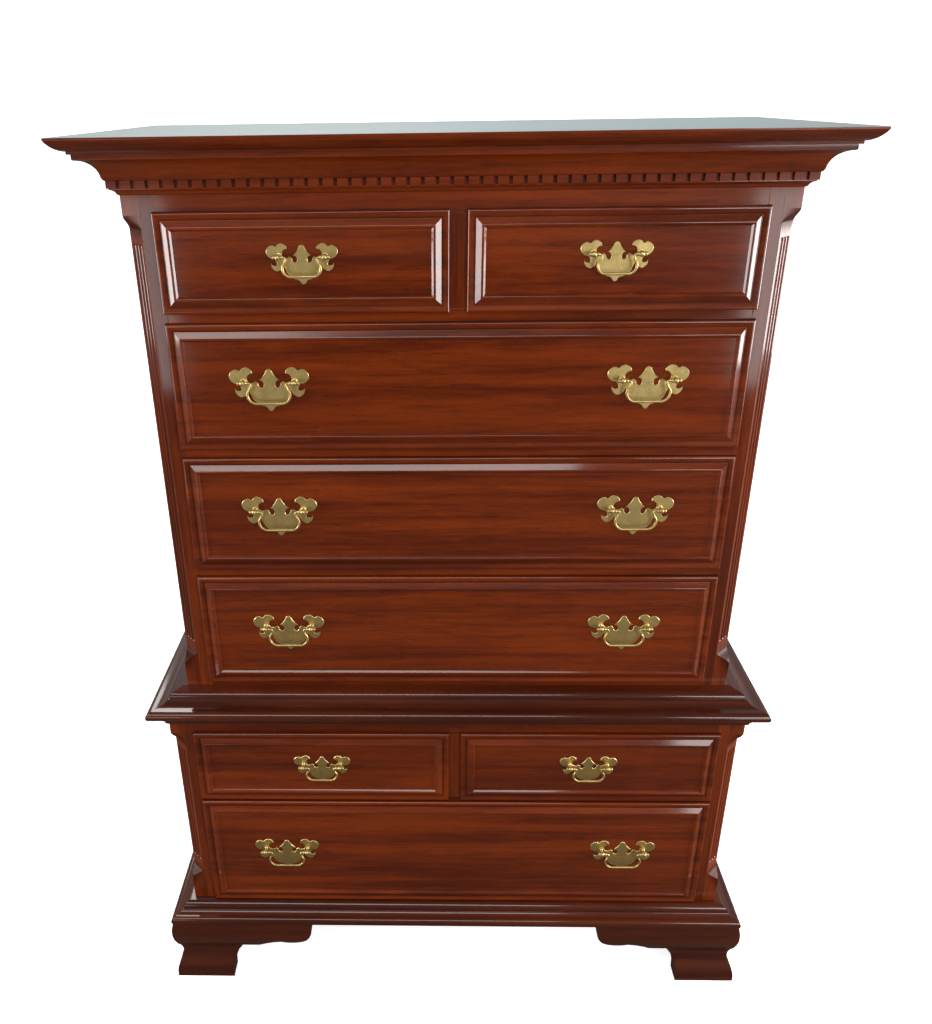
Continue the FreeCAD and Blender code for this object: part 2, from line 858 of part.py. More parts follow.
def dentil_count(length):
    """How many gaps fit along a strip so that it starts and ends on a whole dentil."""
    tooth = s.dentil_pitch - s.dentil_cut
    gaps = (length - tooth) / s.dentil_pitch
    return Size(round(gaps.value), f"round({gaps.text})")


def dentil_strip(name, plan, start, length, along_x):
    """A strip of dentils: a bar from plan with gaps cut in its outer edge at an even pitch.

    start is the outer corner of its first dentil; along_x tells which way the strip runs.
    """
    body = new_body(name)
    pad(body, outline(body, f"{name}_plan", "XY_Plane", dentil_bottom, plan), s.dentil_height)
    tooth = s.dentil_pitch - s.dentil_cut
    count = dentil_count(length)
    pitch = (length - tooth) / count
    beyond = -s.quirk
    near, far = tooth, pitch
    if along_x:
        gap = rectangle(start[0] + near, start[1] + beyond, start[0] + far,
                        start[1] + s.dentil_cut_depth)
    else:
        gap = rectangle(start[0] + beyond, start[1] + near, start[0] + s.dentil_cut_depth,
                        start[1] + far)
    sketch = outline(body, f"{name}_gap", "XY_Plane", dentil_top + s.quirk, gap)
    cut = pocket(body, sketch, s.dentil_height + s.quirk * 2)
    pattern = body.newObject("PartDesign::LinearPattern", f"{name}_gaps")
    pattern.Originals = [cut]
    pattern.Direction = (sketch, ["H_Axis" if along_x else "V_Axis"])
    bind(pattern, Length=pitch * (count - 1), Occurrences=count)
    body.Tip = pattern
    doc.recompute()
    return body


def dentil_moulding():
    """Three dentil strips bedded under the crown's cove, mitred where they meet."""
    tip = -upper_half - s.dentil_reach, upper_front - s.dentil_reach
    bed = -upper_half - s.dentil_bed_reach, upper_front - s.dentil_bed_reach
    plan = [tip, (-tip[0], tip[1]), (-bed[0], bed[1]), bed]
    across = dentil_strip("dentils_front", plan, tip, -tip[0] * 2, True)
    plan = [tip, bed, (bed[0], back_face), (tip[0], back_face)]
    left = dentil_strip("dentils_left", plan, tip, back_face - tip[1], False)
    node("dentil_moulding", across, left, mirrored(left, "dentils_right"))


# --- feet --------------------------------------------------------------------------

def foot_outline(tip, toward, stretch=1):
    """Face of a bracket foot from its outer tip: the foot, its throat and the scrolled wing.

    stretch lengthens or shortens the wing beyond the throat.
    """
    def along(far):
        return s.foot_throat + (far - s.foot_throat) * stretch

    steps = [
        (0, 0),
        (s.foot_width, 0),
        (s.foot_throat, s.foot_opening_height, 1.6, 1),
        (along(s.wing_start), s.foot_opening_height),
        (along(s.wing_cusp), s.wing_cusp_height, 2, 1),
        (along(s.wing_lobe_end), s.wing_lobe_height, 1.06, -1),
        (along(s.wing_length), s.wing_end_height, 2, -1),
        (along(s.wing_length), s.foot_height),
        (0, s.foot_height),
    ]
    return [(tip + far * toward, height, *((curve[0], curve[1] * toward) if curve else ()))
            for far, height, *curve in steps]


def ogee_waste(face):
    """Waste in front of a bracket's face: the swelling knee, hollow ankle and flared toe."""
    beyond = s.foot_spread + s.quirk
    above = s.foot_height + s.quirk
    return standing_off(face, [
        (beyond, above),
        (s.foot_top_reach, above),
        (s.foot_top_reach, s.foot_height),
        (s.foot_break_reach, s.foot_break_height, 1.5, -1),
        (s.foot_ankle_reach, s.foot_ankle_height, 1, 1),
        (s.foot_spread, s.foot_toe_height, 2.2, -1),
        (s.foot_spread, -s.quirk),
        (beyond, -s.quirk),
    ])


def front_bracket():
    """Front half of the left front foot, mitred at the corner."""
    body = new_body("foot_front_left")
    tip_x, tip_y = -lower_half - s.foot_spread, lower_front - s.foot_spread
    pad(body, outline(body, "foot_front_face", "XZ_Plane", -tip_y, foot_outline(tip_x, 1)),
        s.foot_bracket_thickness, reverse=True)
    pocket(body, outline(body, "foot_front_ogee", "YZ_Plane", 0, ogee_waste(lower_front)),
           s.lower_case_width)
    far = s.foot_bracket_thickness + s.quirk
    waste = [(tip_x - OVERRUN, tip_y - OVERRUN), (tip_x + far, tip_y + far),
             (tip_x - OVERRUN, tip_y + far)]
    pocket(body, outline(body, "foot_front_mitre", "XY_Plane", s.foot_height + s.quirk, waste),
           s.foot_height + s.quirk * 2)
    return body


def side_bracket(name, tip, toward):
    """A left-hand bracket along the side of the case, its tip at the given depth."""
    body = new_body(name)
    face = -lower_half
    tip_x = face - s.foot_spread
    pad(body, outline(body, f"{name}_face", "YZ_Plane", tip_x,
                      foot_outline(tip, toward, s.side_wing_stretch)), s.foot_bracket_thickness)
    pocket(body, outline(body, f"{name}_ogee", "XZ_Plane", s.overall_depth, ogee_waste(face)),
           s.overall_depth * 2)
    return body


def mitre_side_bracket(body):
    """Mitre the front end of a side bracket to meet the front one."""
    tip_x, tip_y = -lower_half - s.foot_spread, lower_front - s.foot_spread
    far = s.foot_bracket_thickness + s.quirk
    waste = [(tip_x - OVERRUN, tip_y - OVERRUN), (tip_x + far, tip_y + far),
             (tip_x + far, tip_y - OVERRUN)]
    pocket(body, outline(body, "foot_side_mitre", "XY_Plane", s.foot_height + s.quirk, waste),
           s.foot_height + s.quirk * 2)
    return body


def rear_bracket():
    """The plain board that closes the left rear foot at the back."""
    body = new_body("foot_rear_left")
    inner = -lower_half - s.foot_spread + s.foot_bracket_thickness
    plain = [(inner, 0), (inner + s.foot_width, 0), (inner + s.foot_throat, s.foot_opening_height),
             (inner + s.wing_start, s.foot_height), (inner, s.foot_height)]
    pad(body, outline(body, "foot_rear_face", "XZ_Plane", -back_face, plain),
        s.rear_bracket_thickness)
    return body


def foot_block(name, low_y):
    """A glue block in the corner of a left foot, carrying the case."""
    inner = -lower_half - s.foot_spread + s.foot_bracket_thickness
    return board(name, (inner, low_y, s.foot_block_lift),
                 (s.foot_block_width, s.foot_block_width, s.foot_height - s.foot_block_lift))


def feet():
    """Ogee bracket feet: mitred at the front, closed by plain boards at the back."""
    tip_y = lower_front - s.foot_spread
    front = [
        front_bracket(),
        mitre_side_bracket(side_bracket("foot_side_front_left", tip_y, 1)),
        foot_block("foot_block_front_left", tip_y + s.foot_bracket_thickness),
    ]
    rear = [
        side_bracket("foot_side_rear_left", back_face, -1),
        rear_bracket(),
        foot_block("foot_block_rear_left",
                   back_face - s.rear_bracket_thickness - s.foot_block_width),
    ]
    for name, pieces in (("front_feet", front), ("rear_feet", rear)):
        twins = [mirrored(piece, piece.Name.replace("left", "right")) for piece in pieces]
        node(name, *pieces, *twins)


# --- drawers -----------------------------------------------------------------------

def front_band(drawer):
    """Section of the frame worked around a front, from its lower edge up to the sunk field."""
    front, edge = drawer.case.front, drawer.lip_bottom
    bead_start = s.edge_rise + (s.bead_rise - s.edge_rise) / 2
    steps = [
        (s.edge_rise, 0),
        (bead_start, s.bead_shoulder),
        (s.bead_rise, s.bead_width, 0.62, 1),
        (s.valley_rise, s.valley_inset),
        (s.bevel_rise, s.bevel_inset),
        (s.bevel_rise, s.bevel_inset + s.bevel_width, 0.8, 1),
        (s.field_rise, s.frame_band),
        (s.edge_rise, s.frame_band),
    ]
    return [(front - rise, edge + inset, *curve) for rise, inset, *curve in steps]


def drawer_front(drawer):
    """A front: the core that fills the opening, the lip over its edge, the frame, the field."""
    name = f"{drawer.name}_front"
    body = new_body(name)
    plane = -drawer.case.front
    lip = rectangle(drawer.lip_left, drawer.lip_bottom, drawer.lip_right, drawer.lip_top)
    core = rectangle(drawer.left, drawer.bottom, drawer.right, drawer.core_top)
    pad(body, outline(body, f"{name}_core", "XZ_Plane", -drawer.core_back, core),
        s.core_thickness + s.edge_rise)
    pad(body, outline(body, f"{name}_lip", "XZ_Plane", plane + s.lip_gap, lip),
        s.edge_rise - s.lip_gap)
    path = outline(body, f"{name}_path", "XZ_Plane", plane + s.edge_rise, lip)
    band = outline(body, f"{name}_band", "YZ_Plane", drawer.middle, front_band(drawer))
    swept(body, band, path, "Right corner")
    field = rectangle(drawer.lip_left + s.frame_band, drawer.lip_bottom + s.frame_band,
                      drawer.lip_right - s.frame_band, drawer.lip_top - s.frame_band)
    pad(body, outline(body, f"{name}_field", "XZ_Plane", plane + s.edge_rise, field),
        s.field_rise - s.edge_rise)
    pull = drawer_pull(drawer)
    level = pull_level(drawer) + pull.pivot_rise
    spots = [(spot + pull.bore / 2 * side, level, s.post_shank_radius + s.shank_clearance)
             for spot in drawer.pulls.values() for side in (-1, 1)]
    holes = circles(body, f"{name}_holes", "XZ_Plane", plane + s.field_rise + s.quirk, spots)
    pocket(body, holes, s.core_thickness + s.field_rise + s.quirk * 2)
    return node(name, body)


def drawer_box(drawer):
    """The box behind a front: two grooved sides, a back and a bottom slid into the grooves."""
    name = drawer.name
    inner_left = drawer.left + s.box_side_thickness
    inner_right = drawer.right - s.box_side_thickness
    groove = drawer.bottom + s.box_bottom_raise
    groove_top = groove + s.box_bottom_thickness
    side = new_body(f"{name}_side_left")
    section = [
        (drawer.left, drawer.bottom), (inner_left, drawer.bottom), (inner_left, groove),
        (inner_left - s.groove_depth, groove), (inner_left - s.groove_depth, groove_top),
        (inner_left, groove_top), (inner_left, drawer.top), (drawer.left, drawer.top),
    ]
    pad(side, outline(side, f"{name}_side_section", "XZ_Plane", -drawer.core_back, section),
        drawer.rear - drawer.core_back, reverse=True)
    twin = mirrored(side, f"{name}_side_right", drawer.middle)
    back = board(f"{name}_back", (inner_left, drawer.rear - s.box_side_thickness, groove_top),
                 (inner_right - inner_left, s.box_side_thickness, drawer.top - groove_top))
    bottom = board(f"{name}_bottom", (inner_left - s.groove_depth, drawer.core_back, groove),
                   (inner_right - inner_left + s.groove_depth * 2,
                    drawer.rear - drawer.core_back, s.box_bottom_thickness))
    return node(f"{name}_box", side, twin, back, bottom)


# --- brass pulls -------------------------------------------------------------------

# Right half of the bat-wing plate, from the top of its middle finial round to the tip under
# it, as parts of the plate's width out of PLATE_PARTS: (across, up[, bend, side]).
PLATE_PARTS = 123
PLATE_HALF = [
    (0, 32.5),
    (5, 28, 0.8, 1),
    (16, 14.5, 2, -1),
    (9, 7.5, 0.7, -1),
    (12.5, 2.5, 0.75, -1),
    (17.5, 9.5, 0.8, -1),
    (22.5, 13, 1.2, 1),
    (35, 15, 0.55, -1),
    (25.5, 25, 0.65, -1),
    (30, 33, 0.9, 1),
    (43.5, 30.5, 0.65, 1),
    (50, 32, 0.8, -1),
    (62, 21, 0.75, 1),
    (49, 8.5, 0.7, 1),
    (44, -1, 1.2, -1),
    (54.2, 1.6, 0.6, -1),
    (44.7, -12.9, 0.72, 1),
    (33, -1.6, 0.85, 1),
    (29, -11),
    (12, -27, 1, 1),
    (5, -31, 1, -1),
    (0, -35.5, 1.2, 1),
]
PIVOT_PARTS = 13.4

# Right half of a bail hanging from its pivot line, in the same parts: neck, swell and foot.
BAIL_NECK = 27.5
BAIL_NECK_BEND = 4
BAIL_SWELL = 33
BAIL_SWELL_DROP = 19
BAIL_FOOT = 19
BAIL_DROP = 33


class Pull:
    """A pull of one size: its plate's width, the distance between its posts, its scale."""

    def __init__(self, name, width, bore):
        self.name = name
        self.bore = bore
        self.part = width / PLATE_PARTS
        self.pivot_rise = self.part * PIVOT_PARTS


small_pull = Pull("small", s.small_plate_width, s.small_bore)
large_pull = Pull("large", s.large_plate_width, s.large_bore)


def drawer_pull(drawer):
    return large_pull if len(drawer.pulls) == 2 else small_pull


def pull_level(drawer):
    """Height of the plates' middle on a drawer."""
    return (drawer.lip_bottom + drawer.lip_top) / 2


def other_half(half):
    """Steps that carry a half path on through its mirror image, back to its start's twin."""
    steps = []
    for index in range(len(half) - 1, 0, -1):
        x, y = half[index - 1][:2]
        steps.append((-x, y, *half[index][2:]))
    return steps


def plate(pull):
    """A bat-wing plate lying on the field of a drawer, its middle at the origin."""
    body = new_body(f"{pull.name}_plate")
    half = [(pull.part * x, pull.part * z, *curve) for x, z, *curve in PLATE_HALF]
    *left, last = other_half(half)
    start = (*half[0], *last[2:])
    edge = outline(body, f"{pull.name}_plate_edge", "XZ_Plane", 0, [start, *half[1:], *left])
    pad(body, edge, s.plate_thickness)
    spots = [(pull.bore / 2 * side, pull.pivot_rise, s.post_shank_radius + s.shank_clearance)
             for side in (-1, 1)]
    front = s.plate_thickness + s.quirk
    pocket(body, circles(body, f"{pull.name}_plate_holes", "XZ_Plane", front, spots),
           front + s.quirk)
    return body


def post(name, x, z):
    """A post turned with a collar, a neck and a flat-cheeked head bored for the bail."""
    body = new_body(name)
    pivot = -s.plate_thickness - s.pivot_reach
    tail = s.field_rise + s.core_thickness + s.nut_thickness + s.shank_tail
    collar = -s.plate_thickness - s.post_flange_thickness
    neck = collar - s.post_flange_thickness * 2
    head = pivot + s.post_head_radius
    profile = [
        (0, tail),
        (s.post_shank_radius, tail),
        (s.post_shank_radius, -s.plate_thickness),
        (s.post_flange_radius, -s.plate_thickness),
        (s.post_flange_radius, collar),
        (s.post_neck_radius, neck, 1, -1),
        (s.post_neck_radius, head),
        (s.post_head_radius, pivot, 0.9, 1),
        (0, pivot - s.post_head_radius, 1 / math.sqrt(2), 1),
    ]
    turned(body, outline(body, f"{name}_profile", "XY_Plane", 0, profile), "V_Axis")
    beyond = s.post_head_radius + s.quirk
    for side, hand in ((-1, "left"), (1, "right")):
        waste = rectangle(s.post_cheek * side, pivot - beyond, beyond * side, head)
        pocket(body, outline(body, f"{name}_{hand}_cheek", "XY_Plane", beyond, waste),
               beyond * 2)
    hole = circles(body, f"{name}_hole", "YZ_Plane", beyond,
                   [(pivot, 0, s.bail_radius + s.bail_fit)])
    pocket(body, hole, beyond * 2)
    return place(body, x, 0, z)


def nut(name, x, z):
    """The nut on a post's tail, against the back of the drawer front."""
    body = new_body(name)
    rounds = [(0, 0, s.nut_radius), (0, 0, s.post_shank_radius + s.nut_clearance)]
    pad(body, circles(body, f"{name}_ring", "XZ_Plane", -s.field_rise - s.core_thickness, rounds),
        s.nut_thickness, reverse=True)
    return place(body, x, 0, z)


def pull_master(pull):
    """A plate with its two posts and nuts, around the plate's middle."""
    pieces = [plate(pull)]
    for side, hand in ((-1, "left"), (1, "right")):
        x = pull.bore / 2 * side
        pieces.append(post(f"{pull.name}_post_{hand}", x, pull.pivot_rise))
        pieces.append(nut(f"{pull.name}_nut_{hand}", x, pull.pivot_rise))
    master = doc.addObject("Part::Compound", f"{pull.name}_pull")
    master.Links = pieces
    return master


def bail_path(pull, end):
    """Half of a bail's centre line, from its right end in to the middle of the bar."""
    neck, swell = pull.part * BAIL_NECK, pull.part * BAIL_SWELL
    neck_drop, swell_drop = pull.part * BAIL_NECK_BEND, pull.part * BAIL_SWELL_DROP
    halfway = (neck + swell) / 2, -(neck_drop + swell_drop) / 2
    lean = math.atan2(BAIL_SWELL - BAIL_NECK, BAIL_SWELL_DROP - BAIL_NECK_BEND)
    sway = 1 / (2 * math.sin(lean))
    quarter = 1 / math.sqrt(2)
    return [
        (end, 0),
        (neck + neck_drop, 0),
        (neck, -neck_drop, quarter, -1),
        (*halfway, sway, -1),
        (swell, -swell_drop, sway, 1),
        (pull.part * BAIL_FOOT, -pull.part * BAIL_DROP, quarter, 1),
    ]


def bail_collar(body, name, near, outward):
    """A small turned collar on the bail beside a post; outward is its direction along x."""
    far = near + s.bail_collar_length * outward
    turned(body, outline(body, name, "XZ_Plane", 0, [
        (near, 0), (near, s.bail_collar_radius),
        (far, s.bail_collar_radius, 0.8, outward), (far, 0)]), "H_Axis")


def bail_master(pull):
    """A swan-neck bail hanging from its pivot line, the x axis, a collar each side of a post."""
    body = new_body(f"{pull.name}_bail")
    cheek = s.post_cheek + s.bail_collar_gap
    end = pull.bore / 2 + cheek + s.bail_collar_length
    half = bail_path(pull, end)
    foot_x, foot_z = half[-1][:2]
    path = new_sketch(body, f"{pull.name}_bail_path", "XZ_Plane", 0)
    draw(path, [*half, (-foot_x, foot_z), *other_half(half)], closed=False)
    rod = circles(body, f"{pull.name}_bail_rod", "YZ_Plane", end, [(0, 0, s.bail_radius)])
    swept(body, rod, path, "Round corner")
    for side, hand in ((-1, "left"), (1, "right")):
        for way, place_name in ((-1, "inner"), (1, "outer")):
            near = (pull.bore / 2 + cheek * way) * side
            bail_collar(body, f"{pull.name}_{hand}_{place_name}_collar", near, way * side)
    return body


def hang_pulls():
    """Put a pull at every spot on every drawer, and its bail in a node of its own."""
    masters = {pull: (pull_master(pull), bail_master(pull)) for pull in (small_pull, large_pull)}
    for drawer in DRAWERS:
        pull = drawer_pull(drawer)
        master, bail = masters[pull]
        level = pull_level(drawer)
        fixed = []
        for side, spot in drawer.pulls.items():
            item = doc.addObject("Part::Compound", f"{drawer.name}_pull{side}")
            item.Links = [master]
            fixed.append(place(item, spot, drawer.field, level))
            item = doc.addObject("Part::Compound", f"{drawer.name}_bail{side}")
            item.Links = [bail]
            place(item, spot, drawer.field - s.plate_thickness - s.pivot_reach,
                  level + pull.pivot_rise)
            node(f"{drawer.name}_bail{side}", item)
        node(f"{drawer.name}_pulls", *fixed)


def main():
    build_case(upper, UPPER_ROWS, s.upper_chamfer_lift, s.upper_chamfer_drop)
    build_case(lower, LOWER_ROWS, s.lower_chamfer_lift, s.lower_chamfer_drop)
    lower_top_board()
    top_board()
    crown_moulding()
    dentil_moulding()
    waist_moulding()
    base_moulding()
    feet()
    for drawer in DRAWERS:
        drawer_front(drawer)
        drawer_box(drawer)
    hang_pulls()
    doc.recompute()
    check_and_write()


def check_and_write():
    """Refuse to write anything unless every object computed and every node is sound."""
    for item in doc.Objects:
        if "Invalid" in item.State or "Error" in item.State:
            raise ValueError(f"{item.Name} did not compute: {item.State}")
    for item in NODES:
        if item.Shape.isNull() or not item.Shape.isValid():
            raise ValueError(f"{item.Label} has no valid shape")
    os.makedirs("parts", exist_ok=True)
    for item in NODES:
        item.Shape.exportStep(f"parts/{item.Label}.step")


main()
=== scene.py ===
"""Looks of the cherry chest on chest: its wood, its worked fronts and mouldings, its brass.

Metres, +Z up, +Y towards the back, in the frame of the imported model. Outlines of mouldings
and of the brass plates are written in millimetres, as a joiner would give them.
"""

import json
import logging
import math
from dataclasses import dataclass
from enum import Enum, StrEnum

import bmesh
import bpy
import numpy as np
from mathutils import Matrix, Vector
from mathutils.geometry import delaunay_2d_cdt


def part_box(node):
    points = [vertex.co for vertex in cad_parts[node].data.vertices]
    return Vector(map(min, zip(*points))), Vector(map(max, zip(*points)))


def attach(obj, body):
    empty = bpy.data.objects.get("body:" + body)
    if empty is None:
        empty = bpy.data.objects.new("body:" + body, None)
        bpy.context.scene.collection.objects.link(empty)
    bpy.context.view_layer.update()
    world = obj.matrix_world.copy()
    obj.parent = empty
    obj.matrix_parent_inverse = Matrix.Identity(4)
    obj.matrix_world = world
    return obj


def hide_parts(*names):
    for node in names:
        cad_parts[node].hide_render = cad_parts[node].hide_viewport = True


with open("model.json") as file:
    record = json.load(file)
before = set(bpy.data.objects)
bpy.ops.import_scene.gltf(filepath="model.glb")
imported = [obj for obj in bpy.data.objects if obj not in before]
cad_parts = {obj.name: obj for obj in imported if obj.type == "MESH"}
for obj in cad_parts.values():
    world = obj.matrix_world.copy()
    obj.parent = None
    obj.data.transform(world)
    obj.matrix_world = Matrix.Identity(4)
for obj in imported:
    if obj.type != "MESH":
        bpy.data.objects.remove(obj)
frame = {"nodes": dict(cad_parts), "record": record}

LOG = logging.getLogger("chest")
MM = 0.001
# What is smaller than this counts as nothing.
TINY = 1e-6
# Faces that turn less than this into each other are shaded as one curve.
FLAT_ENOUGH = math.radians(32)


def placed(name: str, data: bpy.types.ID) -> bpy.types.Object:
    """Put a new object in the scene.

    Args:
        name: The object's name.
        data: Its mesh, light or camera.

    Returns:
        The object.
    """
    made = bpy.data.objects.new(name, data)
    bpy.context.scene.collection.objects.link(made)
    return made


# --- shader maths -----------------------------------------------------------------------


@dataclass(frozen=True)
class Wire:
    """A number or vector on its way between shader nodes, with ordinary arithmetic.

    Args:
        bench: Where its node stands.
        socket: The output it comes from.
    """

    bench: "Bench"
    socket: bpy.types.NodeSocket

    def _maths(self, operation: str, *terms: "Wire | float") -> "Wire":
        """One Math node over the given terms.

        Args:
            operation: The Math node's operation.
            *terms: Its inputs in order.

        Returns:
            The node's result.
        """
        return self.bench.take("ShaderNodeMath", {"operation": operation}, dict(enumerate(terms)))

    def __add__(self, other: "Wire | float") -> "Wire":
        """This plus the other."""
        return self._maths("ADD", self, other)

    def __sub__(self, other: "Wire | float") -> "Wire":
        """This less the other."""
        return self._maths("SUBTRACT", self, other)

    def __rsub__(self, other: float) -> "Wire":
        """The other less this."""
        return self._maths("SUBTRACT", other, self)

    def __mul__(self, other: "Wire | float") -> "Wire":
        """This times the other."""
        return self._maths("MULTIPLY", self, other)

    __radd__, __rmul__ = __add__, __mul__

    def __neg__(self) -> "Wire":
        """This with its sign turned."""
        return self._maths("MULTIPLY", self, -1.0)

    def stepped(self, low: float, high: float) -> "Wire":
        """The value eased from 0 at low to 1 at high.

        Args:
            low: Where the step starts.
            high: Where it ends.

        Returns:
            The eased value, between 0 and 1.
        """
        settings = {"interpolation_type": "SMOOTHSTEP"}
        inputs = {"Value": self, "From Min": low, "From Max": high}
        return self.bench.take("ShaderNodeMapRange", settings, inputs)


@dataclass(frozen=True)
class Clouds:
    """Measures of cloudy noise that is drawn out along the grain.

    Args:
        along: How many clouds to a metre along the grain.
        across: How many to a metre across it.
        detail: How many finer layers are added.
        roughness: How strong those layers are.
        distortion: How far the clouds are pulled about.
    """

    along: float
    across: float
    detail: float = 3.0
    roughness: float = 0.55
    distortion: float = 0.0


class Bench:
    """Lays out the nodes of one material or world."""

    def __init__(self, owner: bpy.types.Material | bpy.types.World) -> None:
        """Start with no nodes.

        Args:
            owner: The material or world.
        """
        owner.use_nodes = True
        self.tree = owner.node_tree
        self.tree.nodes.clear()

    def put(self, kind: str, settings: dict, inputs: dict) -> bpy.types.Node:
        """Add a node.

        Args:
            kind: The node's type.
            settings: Its properties, set first.
            inputs: Values or wires for its inputs, by name or number.

        Returns:
            The node.
        """
        node = self.tree.nodes.new(kind)
        for name, value in settings.items():
            setattr(node, name, value)
        for name, value in inputs.items():
            if isinstance(value, Wire):
                self.tree.links.new(value.socket, node.inputs[name])
            else:
                node.inputs[name].default_value = value
        return node

    def take(self, kind: str, settings: dict, inputs: dict, output: int = 0) -> Wire:
        """Add a node and take one of its outputs.

        Args:
            kind: The node's type.
            settings: Its properties.
            inputs: Values or wires for its inputs.
            output: Which output to take.

        Returns:
            The output as a wire.
        """
        return Wire(self, self.put(kind, settings, inputs).outputs[output])

    def grain(self) -> Wire:
        """Each point's place in its board: along the grain, across it and through."""
        return self.take("ShaderNodeAttribute", {"attribute_name": "grain"}, {}, 1)

    def edge(self) -> Wire:
        """How exposed each point is, from -1 in a crevice to 1 on an edge; below 0 the wood gets
        painted shade.
        """
        return self.take("ShaderNodeAttribute", {"attribute_name": "edge"}, {}, 2)

    def level(self) -> Wire:
        """Height over the floor, of an object that stands at the origin."""
        place = self.take("ShaderNodeTexCoord", {}, {}, 3)
        return self.take("ShaderNodeSeparateXYZ", {}, {"Vector": place}, 2)

    def seen(self) -> Wire:
        """1 where the camera looks at the surface itself, else 0."""
        return self.take("ShaderNodeLightPath", {}, {}, 0)

    def noise(self, place: Wire, clouds: Clouds) -> Wire:
        """Cloudy noise.

        Args:
            place: Coordinates in metres, first along the grain.
            clouds: The noise's measures.

        Returns:
            The noise, around one half.
        """
        scale = (clouds.along, clouds.across, clouds.across)
        stretched = self.take("ShaderNodeVectorMath", {"operation": "MULTIPLY"},
                              {0: place, 1: scale})
        return self.take("ShaderNodeTexNoise", {}, {
            "Vector": stretched, "Scale": 1.0, "Detail": clouds.detail,
            "Roughness": clouds.roughness, "Distortion": clouds.distortion})

    def blend(self, amount: "Wire | float", first: "Wire | Colour",
              second: "Wire | Colour") -> Wire:
        """Mix two colours.

        Args:
            amount: How much of the second, from 0 to 1.
            first: The first colour.
            second: The second colour.

        Returns:
            The mixed colour.
        """
        settings = {"data_type": "RGBA", "clamp_factor": True}
        return self.take("ShaderNodeMix", settings, {0: amount, 6: first, 7: second}, 2)

    def relief(self, height: Wire, strength: float, depth: float) -> Wire:
        """A bump from a height in parts of depth, which is in metres."""
        inputs = {"Height": height, "Strength": strength, "Distance": depth}
        return self.take("ShaderNodeBump", {}, inputs)

    def surface(self, inputs: dict) -> None:
        """Close a material with a principled surface of these inputs."""
        surface = self.take("ShaderNodeBsdfPrincipled", {}, inputs)
        self.put("ShaderNodeOutputMaterial", {}, {"Surface": surface})


# --- finishes ---------------------------------------------------------------------------

Colour = tuple[float, float, float, float]


def colour(red: float, green: float, blue: float) -> Colour:
    """A linear colour as shader sockets take it."""
    return (red, green, blue, 1.0)


